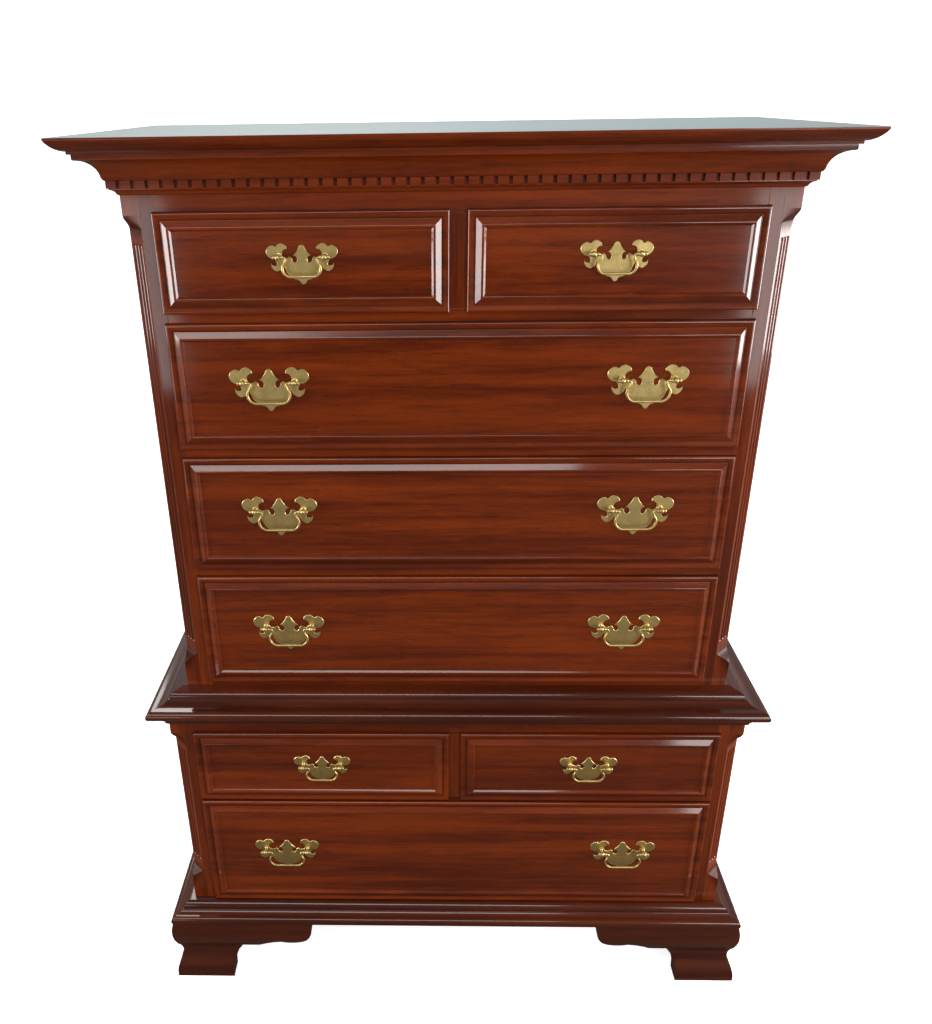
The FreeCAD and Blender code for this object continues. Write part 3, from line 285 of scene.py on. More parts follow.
@dataclass(frozen=True)
class Timber:
    """Wood with its finish: streaked along the board's own grain, worn at its edges, with painted
    shade in its sunk places.

    Args:
        name: The material's name.
        slot: The part's material slot; not used.
        dark: Colour of the dense streaks.
        light: Colour of the pale streaks.
        pore: Colour inside the open pores, also the colour of the painted shade in sunk places.
        worn: Colour where an edge is rubbed.
        roughness: Roughness of the smooth parts.
        gloss: Weight of the lacquer coat.
        pore_depth: How strongly pores show.
    """

    name: str
    slot: str
    dark: Colour
    light: Colour
    pore: Colour
    worn: Colour
    roughness: float
    gloss: float
    pore_depth: float
    SWAY = Clouds(1.1, 6.0, 2.0)
    STREAKS = Clouds(1.6, 42.0, 5.0, 0.62, 0.35)
    FLECKS = Clouds(14.0, 120.0, 3.0, 0.6, 0.6)
    FINE = Clouds(9.0, 420.0, 2.0, 0.5)
    SHADES = Clouds(2.2, 5.0, 2.0, 0.5, 0.4)
    PORES = Clouds(55.0, 1500.0, 1.0)
    RUBS = Clouds(60.0, 60.0, 3.0)
    # Each step says from where to where, in a noise or along an edge, a feature sets in.
    FIGURE_MIX, FIGURE_STEP = (0.5, 0.28, 0.22), (0.38, 0.62)
    SHADE_STEP, SHADE_SHOWS = (0.42, 0.7), 0.35
    FINE_FROM, FINE_SHOWS = 0.35, 0.5
    PORE_STEP = (0.6, 0.72)
    RUB_STEP, RUB_EDGE, RUB_SHOWS = (0.4, 0.68), (0.2, 1.0), 0.55
    # Painted shade in sunk places: where it sets in along the edge, how far it darkens the colour,
    # how far it dulls the coat.
    GRIME_EDGE, GRIME_SHOWS, GRIME_DULLS = (0.1, 1.0), 0.7, 0.95
    STREAKS_ROUGHEN, SHADES_ROUGHEN, PORES_ROUGHEN = 0.08, 0.07, 0.1
    COAT_ROUGHNESS, SHEEN_UNDER_COAT = 0.085, 0.1
    FINE_HEIGHT, SHADE_HEIGHT = 0.25, 0.4
    RELIEF, RELIEF_DEPTH = 0.3, 0.25 * MM

    def dress(self, material: bpy.types.Material) -> None:
        """Lay out the material.

        Args:
            material: The empty material.
        """
        bench = Bench(material)
        grain, edge = bench.grain(), bench.edge()
        sway = bench.noise(grain, self.SWAY)
        streaks = bench.noise(grain, self.STREAKS)
        flecks = bench.noise(grain, self.FLECKS)
        fine = bench.noise(grain, self.FINE)
        shades = bench.noise(grain, self.SHADES)
        pores = bench.noise(grain, self.PORES).stepped(*self.PORE_STEP)
        of_streaks, of_sway, of_flecks = self.FIGURE_MIX
        figure = streaks * of_streaks + sway * of_sway + flecks * of_flecks
        wood = bench.blend(figure.stepped(*self.FIGURE_STEP), self.dark, self.light)
        wood = bench.blend(shades.stepped(*self.SHADE_STEP) * self.SHADE_SHOWS, wood, self.dark)
        wood = bench.blend((fine - self.FINE_FROM) * self.FINE_SHOWS, wood, self.light)
        wood = bench.blend(pores * self.pore_depth, wood, self.pore)
        rub = bench.noise(grain, self.RUBS).stepped(*self.RUB_STEP)
        rub = edge.stepped(*self.RUB_EDGE) * rub * self.RUB_SHOWS
        wood = bench.blend(rub, wood, self.worn)
        # Painted shade: where the edge attribute is below 0, the colour goes towards the pore
        # colour and the coat is dulled.
        grime = (-edge).stepped(*self.GRIME_EDGE)
        rough = self.roughness + streaks * self.STREAKS_ROUGHEN + shades * self.SHADES_ROUGHEN
        height = fine * self.FINE_HEIGHT - pores * self.pore_depth + shades * self.SHADE_HEIGHT
        bench.surface({
            "Base Color": bench.blend(grime * self.GRIME_SHOWS, wood, self.pore),
            "Roughness": rough + pores * self.PORES_ROUGHEN,
            "Coat Weight": self.gloss * (1.0 - grime * self.GRIME_DULLS),
            "Coat Roughness": self.COAT_ROUGHNESS,
            "Specular IOR Level": self.SHEEN_UNDER_COAT,
            "Normal": bench.relief(height, self.RELIEF, self.RELIEF_DEPTH),
        })


@dataclass(frozen=True)
class AgedBrass:
    """Lacquered brass, dulled in patches and specked.

    Args:
        name: The material's name.
        slot: The part's material slot; not used.
        bright: Colour of the clean metal.
        dull: Colour of the tarnished patches.
        grime: Colour of the specks.
    """

    name: str
    slot: str
    bright: Colour
    dull: Colour
    grime: Colour
    PATCHES = Clouds(55.0, 55.0, 4.0, 0.6)
    SPECKS = Clouds(900.0, 900.0, 2.0)
    RIPPLES = Clouds(160.0, 160.0, 2.0)
    PATCH_STEP, PATCH_SHOWS = (0.38, 0.66), 0.75
    SPECK_STEP, SPECK_SHOWS, SPECK_DEPTH = (0.6, 0.75), 0.4, 0.3
    ROUGHNESS, ROUGHER = 0.42, 0.12
    RELIEF, RELIEF_DEPTH = 0.25, 0.3 * MM

    def dress(self, material: bpy.types.Material) -> None:
        """Lay out the material.

        Args:
            material: The empty material.
        """
        bench = Bench(material)
        place = bench.grain()
        patches = bench.noise(place, self.PATCHES).stepped(*self.PATCH_STEP)
        specks = bench.noise(place, self.SPECKS).stepped(*self.SPECK_STEP)
        ripples = bench.noise(place, self.RIPPLES)
        metal = bench.blend(patches * self.PATCH_SHOWS, self.bright, self.dull)
        metal = bench.blend(specks * self.SPECK_SHOWS, metal, self.grime)
        height = ripples - specks * self.SPECK_DEPTH
        bench.surface({
            "Base Color": metal,
            "Metallic": 1.0,
            "Roughness": self.ROUGHNESS + patches * self.ROUGHER + specks * self.ROUGHER,
            "Normal": bench.relief(height, self.RELIEF, self.RELIEF_DEPTH),
        })


class Finish(Enum):
    """The finishes of the chest."""

    CHERRY = Timber(
        "cherry", "case_wood", dark=colour(0.067, 0.0077, 0.0008),
        light=colour(0.19, 0.027, 0.0016), pore=colour(0.016, 0.003, 0.0008),
        worn=colour(0.22, 0.05, 0.012), roughness=0.32, gloss=0.9, pore_depth=0.6)
    # A darker copy of the same cherry for the waist and base mouldings and the feet: painted
    # shade.
    STAINED = Timber(
        "cherry_painted_shade", "case_wood", dark=colour(0.034, 0.0048, 0.0012),
        light=colour(0.085, 0.0135, 0.0028), pore=colour(0.01, 0.002, 0.0008),
        worn=colour(0.15, 0.04, 0.012), roughness=0.34, gloss=0.9, pore_depth=0.6)
    INSIDE = Timber(
        "secondary_wood", "drawer_wood", dark=colour(0.3, 0.18, 0.085),
        light=colour(0.47, 0.32, 0.17), pore=colour(0.12, 0.065, 0.03),
        worn=colour(0.42, 0.3, 0.17), roughness=0.62, gloss=0.0, pore_depth=0.5)
    PANEL = Timber(
        "back_wood", "back_wood", dark=colour(0.15, 0.08, 0.035),
        light=colour(0.27, 0.16, 0.08), pore=colour(0.06, 0.03, 0.014),
        worn=colour(0.26, 0.17, 0.09), roughness=0.68, gloss=0.0, pore_depth=0.6)
    BRASS = AgedBrass(
        "aged_brass", "brass", bright=colour(0.66, 0.5, 0.2),
        dull=colour(0.42, 0.31, 0.12), grime=colour(0.09, 0.06, 0.022))


class Grain(Enum):
    """Which way the grain of a board runs; the value is the order along, across, through."""

    ALONG_X = (0, 2, 1)
    ALONG_Y = (1, 2, 0)
    ALONG_Z = (2, 0, 1)


# --- outlines ---------------------------------------------------------------------------

Step = tuple[float, ...]
# An arc gets a point at least this often.
ARC_STEP = math.radians(5)
# A corner that turns less than this stays as it is.
CORNER = math.radians(20)
# A corner is cut back by no more than this part of the lines beside it.
CUT_SHARE = 0.4
# A corner that turns this far, in radians, is fully exposed.
FULL_TURN = 1.2
# Points of a rounded corner: how far round they are and how exposed.
ROUNDING = ((0.0, 0.0), (0.3, 1.0), (0.7, 1.0), (1.0, 0.0))


def traced(steps: list[Step]) -> np.ndarray:
    """Points along an outline of straight and bent steps.

    Args:
        steps: (x, y) for a straight step, (x, y, bend, side) for an arc whose radius is bend
            times its chord, bulging to the left of travel where side is 1.

    Returns:
        The points in order, an array of (x, y).
    """
    points = [np.array(steps[0][:2], float)]
    for x, y, *curve in steps[1:]:
        start, end = points[-1], np.array((x, y), float)
        if curve:
            bend, side = curve
            chord = end - start
            left = np.array((-chord[1], chord[0]))
            half = math.asin(min(1.0, 0.5 / bend))
            middle = (start + end) / 2 - left * side * bend * math.cos(half)
            count = max(3, math.ceil(half / ARC_STEP))
            angles = np.linspace(0, 2 * half, count + 1)[1:-1] * -side
            spoke = start - middle
            for angle in angles:
                turn = np.array(((math.cos(angle), -math.sin(angle)),
                                 (math.sin(angle), math.cos(angle))))
                points.append(middle + turn @ spoke)
        points.append(end)
    return np.array(points)


def eased(points: np.ndarray, radius: float, closed: bool = True) -> tuple[np.ndarray, np.ndarray]:
    """Round the sharp corners of an outline.

    Args:
        points: The outline, with its solid side to the left of travel.
        radius: How far a corner is cut back, at most.
        closed: Whether the outline closes on itself.

    Returns:
        The new points, and for each how exposed it is: above 0 on corners that stand out,
        below 0 in corners that are sunk.
    """
    kept, exposed = [], []
    count = len(points)
    for index, point in enumerate(points):
        before, after = points[index - 1], points[(index + 1) % count]
        into, out = point - before, after - point
        lengths = np.linalg.norm(into), np.linalg.norm(out)
        ends = not closed and index in (0, count - 1)
        turn = math.atan2(into[0] * out[1] - into[1] * out[0], float(into @ out))
        if ends or abs(turn) < CORNER:
            kept.append(point)
            exposed.append(0.0)
            continue
        back = min(radius, CUT_SHARE * min(lengths))
        first, last = point - into / lengths[0] * back, point + out / lengths[1] * back
        for share, bare in ROUNDING:
            kept.append(first * (1 - share) ** 2 + point * 2 * share * (1 - share)
                        + last * share ** 2)
            exposed.append(bare * float(np.clip(turn / FULL_TURN, -1, 1)))
    return np.array(kept), np.array(exposed)


# --- shapes -----------------------------------------------------------------------------


@dataclass
class Shape:
    """Points and faces of one piece.

    Args:
        points: The points, in metres.
        faces: Point numbers of each face.
        edge: How exposed each point is, from -1 in a crevice to 1 on an edge; below 0 the wood
            gets painted shade.
    """

    points: np.ndarray
    faces: list[list[int]]
    edge: np.ndarray

    @classmethod
    def skin(cls, rings: np.ndarray, edge: np.ndarray, around: bool = True,
             caps: bool = True) -> "Shape":
        """Faces stretched over a series of rings.

        Args:
            rings: The rings' points, an array of (ring, point, axis).
            edge: How exposed the points are, an array of (ring, point).
            around: Whether each ring closes on itself.
            caps: Whether the first and last rings are filled.

        Returns:
            The shape.
        """
        many, size = rings.shape[:2]
        numbers = np.arange(many * size).reshape(many, size)
        across = np.roll(numbers, -1, axis=1)
        ahead = np.roll(numbers, -1, axis=0)
        corner = np.roll(across, -1, axis=0)
        quads = np.stack((numbers, across, corner, ahead), axis=2)
        quads = quads[:many - 1, :size if around else size - 1]
        faces = quads.reshape(-1, 4).tolist()
        if caps:
            faces += [numbers[0].tolist(), numbers[-1].tolist()]
        return cls(rings.reshape(-1, 3), faces, edge.reshape(-1))

    @classmethod
    def slab(cls, low: np.ndarray | tuple, high: np.ndarray | tuple, ease: float) -> "Shape":
        """A board with softly rounded edges.

        Args:
            low: Its lowest corner.
            high: Its highest corner.
            ease: How far the edges are rounded.

        Returns:
            The shape.
        """
        low, high = np.array(low, float), np.array(high, float)
        axis = int(np.argmax(high - low))
        side, rise = [other for other in range(3) if other != axis]
        # Thin boards are rounded less; each end bends at this same part of its rounding.
        part = 0.3
        ease = min(ease, part * float((high - low).min()))
        rings, edge = [], []
        stations = [(low[axis], 1.0), (low[axis] + ease * part, part), (low[axis] + ease, 0.0),
                    (high[axis] - ease, 0.0), (high[axis] - ease * part, part), (high[axis], 1.0)]
        for along, share in stations:
            inset = ease * share
            corners = np.array([(low[side] + inset, low[rise] + inset),
                                (high[side] - inset, low[rise] + inset),
                                (high[side] - inset, high[rise] - inset),
                                (low[side] + inset, high[rise] - inset)])
            section, exposed = eased(corners, ease)
            ring = np.empty((len(section), 3))
            ring[:, axis] = along
            ring[:, side] = section[:, 0]
            ring[:, rise] = section[:, 1]
            rings.append(ring)
            edge.append(np.maximum(exposed, 1.0 if 0 < share < 1 else 0.0))
        return cls.skin(np.array(rings), np.array(edge))

    @classmethod
    def solids_of(cls, node: str) -> list["Shape"]:
        """The separate solids of a CAD node.

        Args:
            node: The node's name.

        Returns:
            One shape to each solid; solids that share corners stay together.
        """
        mesh = frame["nodes"][node].data
        mesh.calc_loop_triangles()
        flat = np.empty(len(mesh.vertices) * 3, np.float32)
        mesh.vertices.foreach_get("co", flat)
        corners = np.empty(len(mesh.loop_triangles) * 3, np.int32)
        mesh.loop_triangles.foreach_get("vertices", corners)
        points, same = np.unique(flat.reshape(-1, 3), axis=0, return_inverse=True)
        triangles = same.reshape(-1)[corners].reshape(-1, 3)
        labels = np.arange(len(points))
        while True:
            spread = labels.copy()
            np.minimum.at(spread, triangles, labels[triangles].min(axis=1)[:, None])
            spread = spread[spread]
            if (spread == labels).all():
                break
            labels = spread
        shapes = []
        for label in np.unique(labels):
            own = np.flatnonzero(labels == label)
            faces = np.searchsorted(own, triangles[labels[triangles[:, 0]] == label])
            whole = [face for face in faces.tolist() if len(set(face)) == 3]
            shapes.append(cls(points[own].astype(float), whole, np.zeros(len(own))))
        return shapes

    def mesh(self, name: str) -> bpy.types.Mesh:
        """The shape as a mesh.

        Args:
            name: The mesh's name.

        Returns:
            The mesh, without a material.
        """
        mesh = bpy.data.meshes.new(name)
        mesh.from_pydata(self.points.tolist(), [], self.faces)
        return mesh

    def reach(self) -> tuple[np.ndarray, np.ndarray]:
        """Lowest and highest corner of the shape."""
        return self.points.min(axis=0), self.points.max(axis=0)

    def is_board(self) -> bool:
        """Whether the shape is a plain rectangular board."""
        return len(self.points) == 8

    def mirrored(self) -> "Shape":
        """The shape's twin on the other side of the chest."""
        return Shape(self.points * (-1, 1, 1), self.faces, self.edge)


class Workshop:
    """Turns shapes into finished pieces that ride with the bodies of the model."""

    # Each piece is cut from its own place in the log: this much further on, within its girth.
    NEXT_CUT, GIRTH = (0.618, 0.755, 0.57), 4

    def __init__(self) -> None:
        """Mix the finishes and look up which body each node belongs to."""
        self.materials = {}
        for finish in Finish:
            self.materials[finish] = bpy.data.materials.new(finish.value.name)
            finish.value.dress(self.materials[finish])
        bodies = frame["record"]["behaviour"]["bodies"]
        self.body_of = {node: body for body, nodes in bodies.items() for node in nodes}
        self.made = 0

    def piece(self, name: str, shape: Shape, finish: Finish, node: str,
              grain: Grain | None = None) -> bpy.types.Object:
        """Make one piece that stands for (part of) a CAD node.

        Args:
            name: The piece's name.
            shape: Its shape.
            finish: Its finish.
            node: The CAD node it belongs to.
            grain: Which way its grain runs; the longest way when left out.

        Returns:
            The finished object.
        """
        mesh = shape.mesh(name)
        self._face_outward(mesh)
        low, high = shape.reach()
        longest = int(np.argmax(high - low))
        order = (grain or tuple(Grain)[longest]).value
        self.made += 1
        shift = np.modf(self.made * np.array(self.NEXT_CUT))[0] * self.GIRTH - self.GIRTH / 2
        along = (shape.points - low)[:, order] + shift
        mesh.attributes.new("grain", "FLOAT_VECTOR", "POINT").data.foreach_set(
            "vector", along.astype(np.float32).ravel())
        mesh.attributes.new("edge", "FLOAT", "POINT").data.foreach_set(
            "value", shape.edge.astype(np.float32))
        mesh.materials.append(self.materials[finish])
        mesh.shade_smooth()
        mesh.set_sharp_from_angle(angle=FLAT_ENOUGH)
        made = placed(name, mesh)
        shading = made.modifiers.new("flat_faces_stay_flat", "WEIGHTED_NORMAL")
        shading.keep_sharp = True
        shading.weight = 100
        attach(made, self.body_of[node])
        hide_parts(node)
        LOG.info("%s made of %s, %d faces", name, finish.value.name, len(shape.faces))
        return made

    def pair(self, name: str, shape: Shape, finish: Finish, node: str,
             grain: Grain | None = None, sides: tuple[str, str] = ("left", "right")) -> None:
        """Make a piece and its twin on the other side of the chest.

        Args:
            name: What both names begin with.
            shape: Shape of the first piece.
            finish: Their finish.
            node: The CAD node they belong to.
            grain: Which way their grain runs.
            sides: Side of the first piece, then of its twin.
        """
        for side, made in zip(sides, (shape, shape.mirrored())):
            self.piece(f"{name}_{side}", made, finish, node, grain)

    @staticmethod
    def _face_outward(mesh: bpy.types.Mesh) -> None:
        """Turn every face of a closed mesh outward.

        Args:
            mesh: The mesh.
        """
        work = bmesh.new()
        work.from_mesh(mesh)
        bmesh.ops.recalc_face_normals(work, faces=work.faces)
        work.to_mesh(mesh)
        work.free()

    def boards(self, node: str, finish: Finish, ease: float = 0.8 * MM) -> None:
        """Make every solid of a node as it is, plain boards with eased edges.

        Args:
            node: The CAD node.
            finish: The boards' finish.
            ease: How far edges of plain boards are rounded.
        """
        for index, solid in enumerate(Shape.solids_of(node)):
            shape = Shape.slab(*solid.reach(), ease) if solid.is_board() else solid
            self.piece(f"{node}_{index}", shape, finish, node)


# --- mouldings --------------------------------------------------------------------------

# Sections are (reach out from the face of the case, height), in millimetres, from the top.
TOP_EDGE = [(71, 1600), (71, 1597), (51.5, 1582, 1.2, 1), (49.5, 1582), (49.5, 1578)]
CROWN = [(0, 1578), (45, 1578), (45, 1571), (43, 1570), (17.5, 1546, 0.77, -1), (15.5, 1542),
         (13.5, 1541), (4, 1541), (4, 1530.5), (11, 1530.5), (11, 1528.5),
         (2.75, 1522, 0.9, -1), (0, 1520)]
WAIST = [(-13, 669.7), (-5.5, 661, 0.9, 1), (-5.5, 659), (-3.5, 659), (14, 651, 1.4, -1),
         (21.5, 651), (31, 641.5, 0.72, 1), (21.5, 632, 0.72, 1), (19.5, 632), (19.5, 628),
         (7, 617, 0.8, -1), (5, 617), (5, 612), (0, 607), (0, 650)]
WAIST_TOP, WAIST_REST = 674, 650
BASE = [(0, 177), (9, 177), (20, 167, 0.9, 1), (20, 165), (22, 165), (33, 159.5, 1.1, -1),
        (35, 159.5), (42, 152.5, 0.8, 1), (42, 148.5), (40.5, 144), (0, 144)]


class Case(StrEnum):
    """The two cases, by what the names of their nodes begin with."""

    UPPER = "upper"
    LOWER = "lower"


@dataclass(frozen=True)
class CaseFaces:
    """Where the faces of a case stand.

    Args:
        half: Half its width.
        front: Where its front is.
        back: Where its back is.
    """

    half: float
    front: float
    back: float

    @classmethod
    def of(cls, case: Case) -> "CaseFaces":
        """Read the faces of a case from its corner posts and side."""
        low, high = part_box(f"{case}_corner_posts")
        return cls(high.x, low.y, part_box(f"{case}_side_left")[1].y)


@dataclass
class Moulding:
    """A moulding on the front and both sides of a case, mitred at the corners.

    Args:
        name: The CAD node it stands for.
        faces: The case's faces.
        front_section: Its section on the front.
        side_section: Its section on the sides.
        finish: Its finish.
        ease: How far its corners are rounded.
    """

    name: str
    faces: CaseFaces
    front_section: list[Step]
    side_section: list[Step]
    finish: Finish
    ease: float = 0.7 * MM

    def build(self, shop: Workshop) -> None:
        """Make the three lengths.

        Args:
            shop: The workshop that makes its pieces.
        """
        faces = self.faces
        section, edge = self._section(self.front_section)
        reach, height = section.T
        rings = np.array([
            np.column_stack((side * (faces.half + reach), faces.front - reach, height))
            for side in (-1, 1)])
        shop.piece(f"{self.name}_front", Shape.skin(rings, np.array([edge, edge])),
                   self.finish, self.name, Grain.ALONG_X)
        section, edge = self._section(self.side_section)
        reach, height = section.T
        inner_front = min(step[0] for step in self.front_section) * MM
        mitre = faces.front - np.maximum(reach, inner_front)
        rings = np.array([np.column_stack((faces.half + reach, depth, height))
                          for depth in (mitre, np.full(len(reach), faces.back))])
        shop.pair(self.name, Shape.skin(rings, np.array([edge, edge])), self.finish, self.name,
                  Grain.ALONG_Y, ("right", "left"))

    def _section(self, steps: list[Step]) -> tuple[np.ndarray, np.ndarray]:
        """A section in metres with eased corners, its solid side to the left of travel."""
        return eased(traced(steps)[::-1] * MM, self.ease)


@dataclass
class TopBoard:
    """The top: one board worked with an ovolo along its front and both ends.

    Args:
        faces: Faces of the upper case.
        ease: How far its corners are rounded.
    """

    faces: CaseFaces
    ease: float = 0.8 * MM

    def build(self, shop: Workshop) -> None:
        """Make the board.

        Args:
            shop: The workshop that makes its pieces.
        """
        section, edge = eased(traced(TOP_EDGE)[::-1] * MM, self.ease, closed=False)
        reach, height = section.T
        half, front = self.faces.half + reach, self.faces.front - reach
        rear = np.full(len(reach), self.faces.back)
        stations = [(-half, rear), (-half, front), (half, front), (half, rear)]
        rings = np.array([np.column_stack((x, y, height)) for x, y in stations])
        shape = Shape.skin(rings, np.tile(edge, (4, 1)), around=False, caps=False)
        size = len(section)
        numbers = np.arange(4 * size).reshape(4, size)
        shape.faces += [numbers[:, 0].tolist(), numbers[:, -1].tolist(),
                        numbers[0].tolist() + numbers[3, ::-1].tolist()]
        shop.piece("upper_top_board_worked", shape, Finish.CHERRY, "upper_top_board",
                   Grain.ALONG_X)


# --- case -------------------------------------------------------------------------------


@dataclass
class CornerPosts:
    """A pair of posts, chamfered between lamb's tongues, with three flutes in the chamfer.

    Args:
        case: Which case they belong to.
        lift: From the case's foot to the chamfer's full depth.
        drop: From the case's top to the chamfer's full depth.
        width: Width of a post on the front.
        depth: Its depth on the side.
        face_frame: Thickness of the face frame beside it.
        side: Thickness of the side board behind it.
        chamfer: How far the chamfer cuts back each face.
        tongue: Height of a lamb's tongue.
        arris: The small chamfer beyond the tongues.
        flute_radius: Radius of a flute.
        flute_depth: How deep it is cut.
        flute_pitch: From one flute to the next.
        flute_margin: From the end of the full chamfer to the end of a flute.
    """

    case: Case
    lift: float
    drop: float
    width: float = 26 * MM
    depth: float = 38 * MM
    face_frame: float = 20 * MM
    side: float = 19 * MM
    chamfer: float = 25 * MM
    tongue: float = 22 * MM
    arris: float = 0.7 * MM
    flute_radius: float = 4 * MM
    flute_depth: float = 2.4 * MM
    flute_pitch: float = 9 * MM
    flute_margin: float = 20 * MM
    # Exposures: the arrises are worn lighter, and the flutes and lamb's tongues are painted darker
    # as shade.
    ARRIS_WEAR, FLUTE_WEAR, TONGUE_WEAR = 0.9, -0.25, -1.0
    TONGUE_POINTS, FLUTE_POINTS, FLUTE_END_POINTS = 13, 9, 7

    def build(self, shop: Workshop) -> None:
        """Make both posts.

        Args:
            shop: The workshop that makes its pieces.
        """
        node = f"{self.case}_corner_posts"
        low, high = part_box(node)
        foot, top = low.z + self.lift, high.z - self.drop
        tongue = np.linspace(0, self.tongue, self.TONGUE_POINTS)
        turn = np.linspace(0, np.pi / 2, self.FLUTE_END_POINTS)
        end = self.flute_margin + self.flute_radius * (1 - np.cos(turn))
        # Heights that agree to a micrometre are one.
        heights = np.unique(np.round(np.concatenate((
            [low.z, high.z], foot - tongue, top + tongue, foot + end, top - end)), 6))
        beyond = np.maximum(0, np.maximum(foot - heights, heights - top)) / self.tongue
        cut = np.clip(1 - beyond, 0, 1)
        leg = self.arris + (self.chamfer - self.arris) * cut * cut * (3 - 2 * cut)
        within = np.minimum(heights - foot, top - heights) - self.flute_margin
        rounding = np.clip(within / self.flute_radius, 0, 1)
        hollow = np.sqrt(1 - (1 - rounding) ** 2)
        along, depth = self._flutes()
        spread = along[None, :] * (leg / self.chamfer)[:, None]
        sunk = depth[None, :] * hollow[:, None]
        half = leg[:, None] / 2
        across = half + (spread + sunk) / math.sqrt(2)
        inward = half + (sunk - spread) / math.sqrt(2)
        plan = np.array([(self.width, 0), (self.width, self.face_frame),
                         (self.side, self.face_frame), (self.side, self.depth),
                         (0, self.depth)])
        rest = np.broadcast_to(plan, (len(heights), *plan.shape))
        outline = np.concatenate((np.stack((across, inward), axis=2), rest), axis=1)
        levels = np.broadcast_to(heights[:, None], outline.shape[:2])
        rings = np.stack((low.x + outline[..., 0], low.y + outline[..., 1], levels), axis=2)
        edge = np.zeros(rings.shape[:2])
        # Painted shade in the flutes and on the lamb's tongues; the arrises are worn.
        edge[:, :len(along)] = np.where(sunk > TINY, self.FLUTE_WEAR, 0.0)
        edge[:, [0, len(along) - 1]] = self.ARRIS_WEAR
        edge[(cut > 0) & (cut < 1), :len(along)] = self.TONGUE_WEAR
        shop.pair(node, Shape.skin(rings, edge), Finish.CHERRY, node, Grain.ALONG_Z)

    def _flutes(self) -> tuple[np.ndarray, np.ndarray]:
        """The flutes across the full chamfer.

        Returns:
            Places along the chamfer from its middle, and how deep the flutes are there.
        """
        reach = math.acos((self.flute_radius - self.flute_depth) / self.flute_radius)
        turn = np.linspace(-reach, reach, self.FLUTE_POINTS)
        hollow = self.flute_radius * np.cos(turn) - (self.flute_radius - self.flute_depth)
        places = [self.flute_radius * np.sin(turn) + self.flute_pitch * index
                  for index in (-1, 0, 1)]
        limit = self.chamfer / math.sqrt(2)
        along = np.concatenate(([-limit], *places, [limit]))
        return along, np.concatenate(([0], np.maximum(0, np.tile(hollow, 3)), [0]))


@dataclass
class Carcass:
    """Both cases: boards, face frames, posts, mouldings and feet."""

    BOARDS = {"side_left": Finish.CHERRY, "side_right": Finish.CHERRY,
              "stiles": Finish.CHERRY, "rails": Finish.CHERRY,
              "drawer_runners": Finish.INSIDE, "bottom_board": Finish.INSIDE,
              "back_panel": Finish.PANEL}

    def build(self, shop: Workshop) -> None:
        """Make everything that doesn't move.

        Args:
            shop: The workshop that makes its pieces.
        """
        upper, lower = (CaseFaces.of(case) for case in Case)
        for case in Case:
            for board, finish in self.BOARDS.items():
                shop.boards(f"{case}_{board}", finish)
        shop.boards("lower_top_board", Finish.INSIDE)
        shop.boards("dentil_moulding", Finish.CHERRY)
        CornerPosts(Case.UPPER, lift=92 * MM, drop=107 * MM).build(shop)
        CornerPosts(Case.LOWER, lift=107 * MM, drop=85 * MM).build(shop)
        TopBoard(upper).build(shop)
        Moulding("crown_moulding", upper, CROWN, CROWN, Finish.CHERRY).build(shop)
        # The base moulding here and the waist moulding below take the darker copy of the cherry,
        # as painted shade.
        Moulding("base_moulding", lower, BASE, BASE, Finish.STAINED).build(shop)
        ledges = [[(-inset, WAIST_REST), (-inset, WAIST_TOP), *WAIST]
                  for inset in ((upper.front - lower.front) / MM, (lower.half - upper.half) / MM)]
        Moulding("waist_moulding", lower, *ledges, Finish.STAINED).build(shop)
        Feet(lower).build(shop)


# --- feet -------------------------------------------------------------------------------

# The face as (reach out from the case, height) from the top; lower edge of a bracket and outline
# of a rear board as (distance from the outer corner, height).
OGEE = [(40.5, 144), (37, 84, 1.5, 1), (35, 41, 1, -1), (44, 13, 2.2, 1), (44, 0)]
BRACKET_FOOT = [(0, 0), (116, 0), (139, 81, 1.6, 1), (173, 81), (218, 97, 2, 1),
                (270, 102, 1.06, -1), (281, 122, 2, -1)]
REAR_BOARD = [(0, 0), (116, 0), (139, 81), (173, 144), (0, 144)]


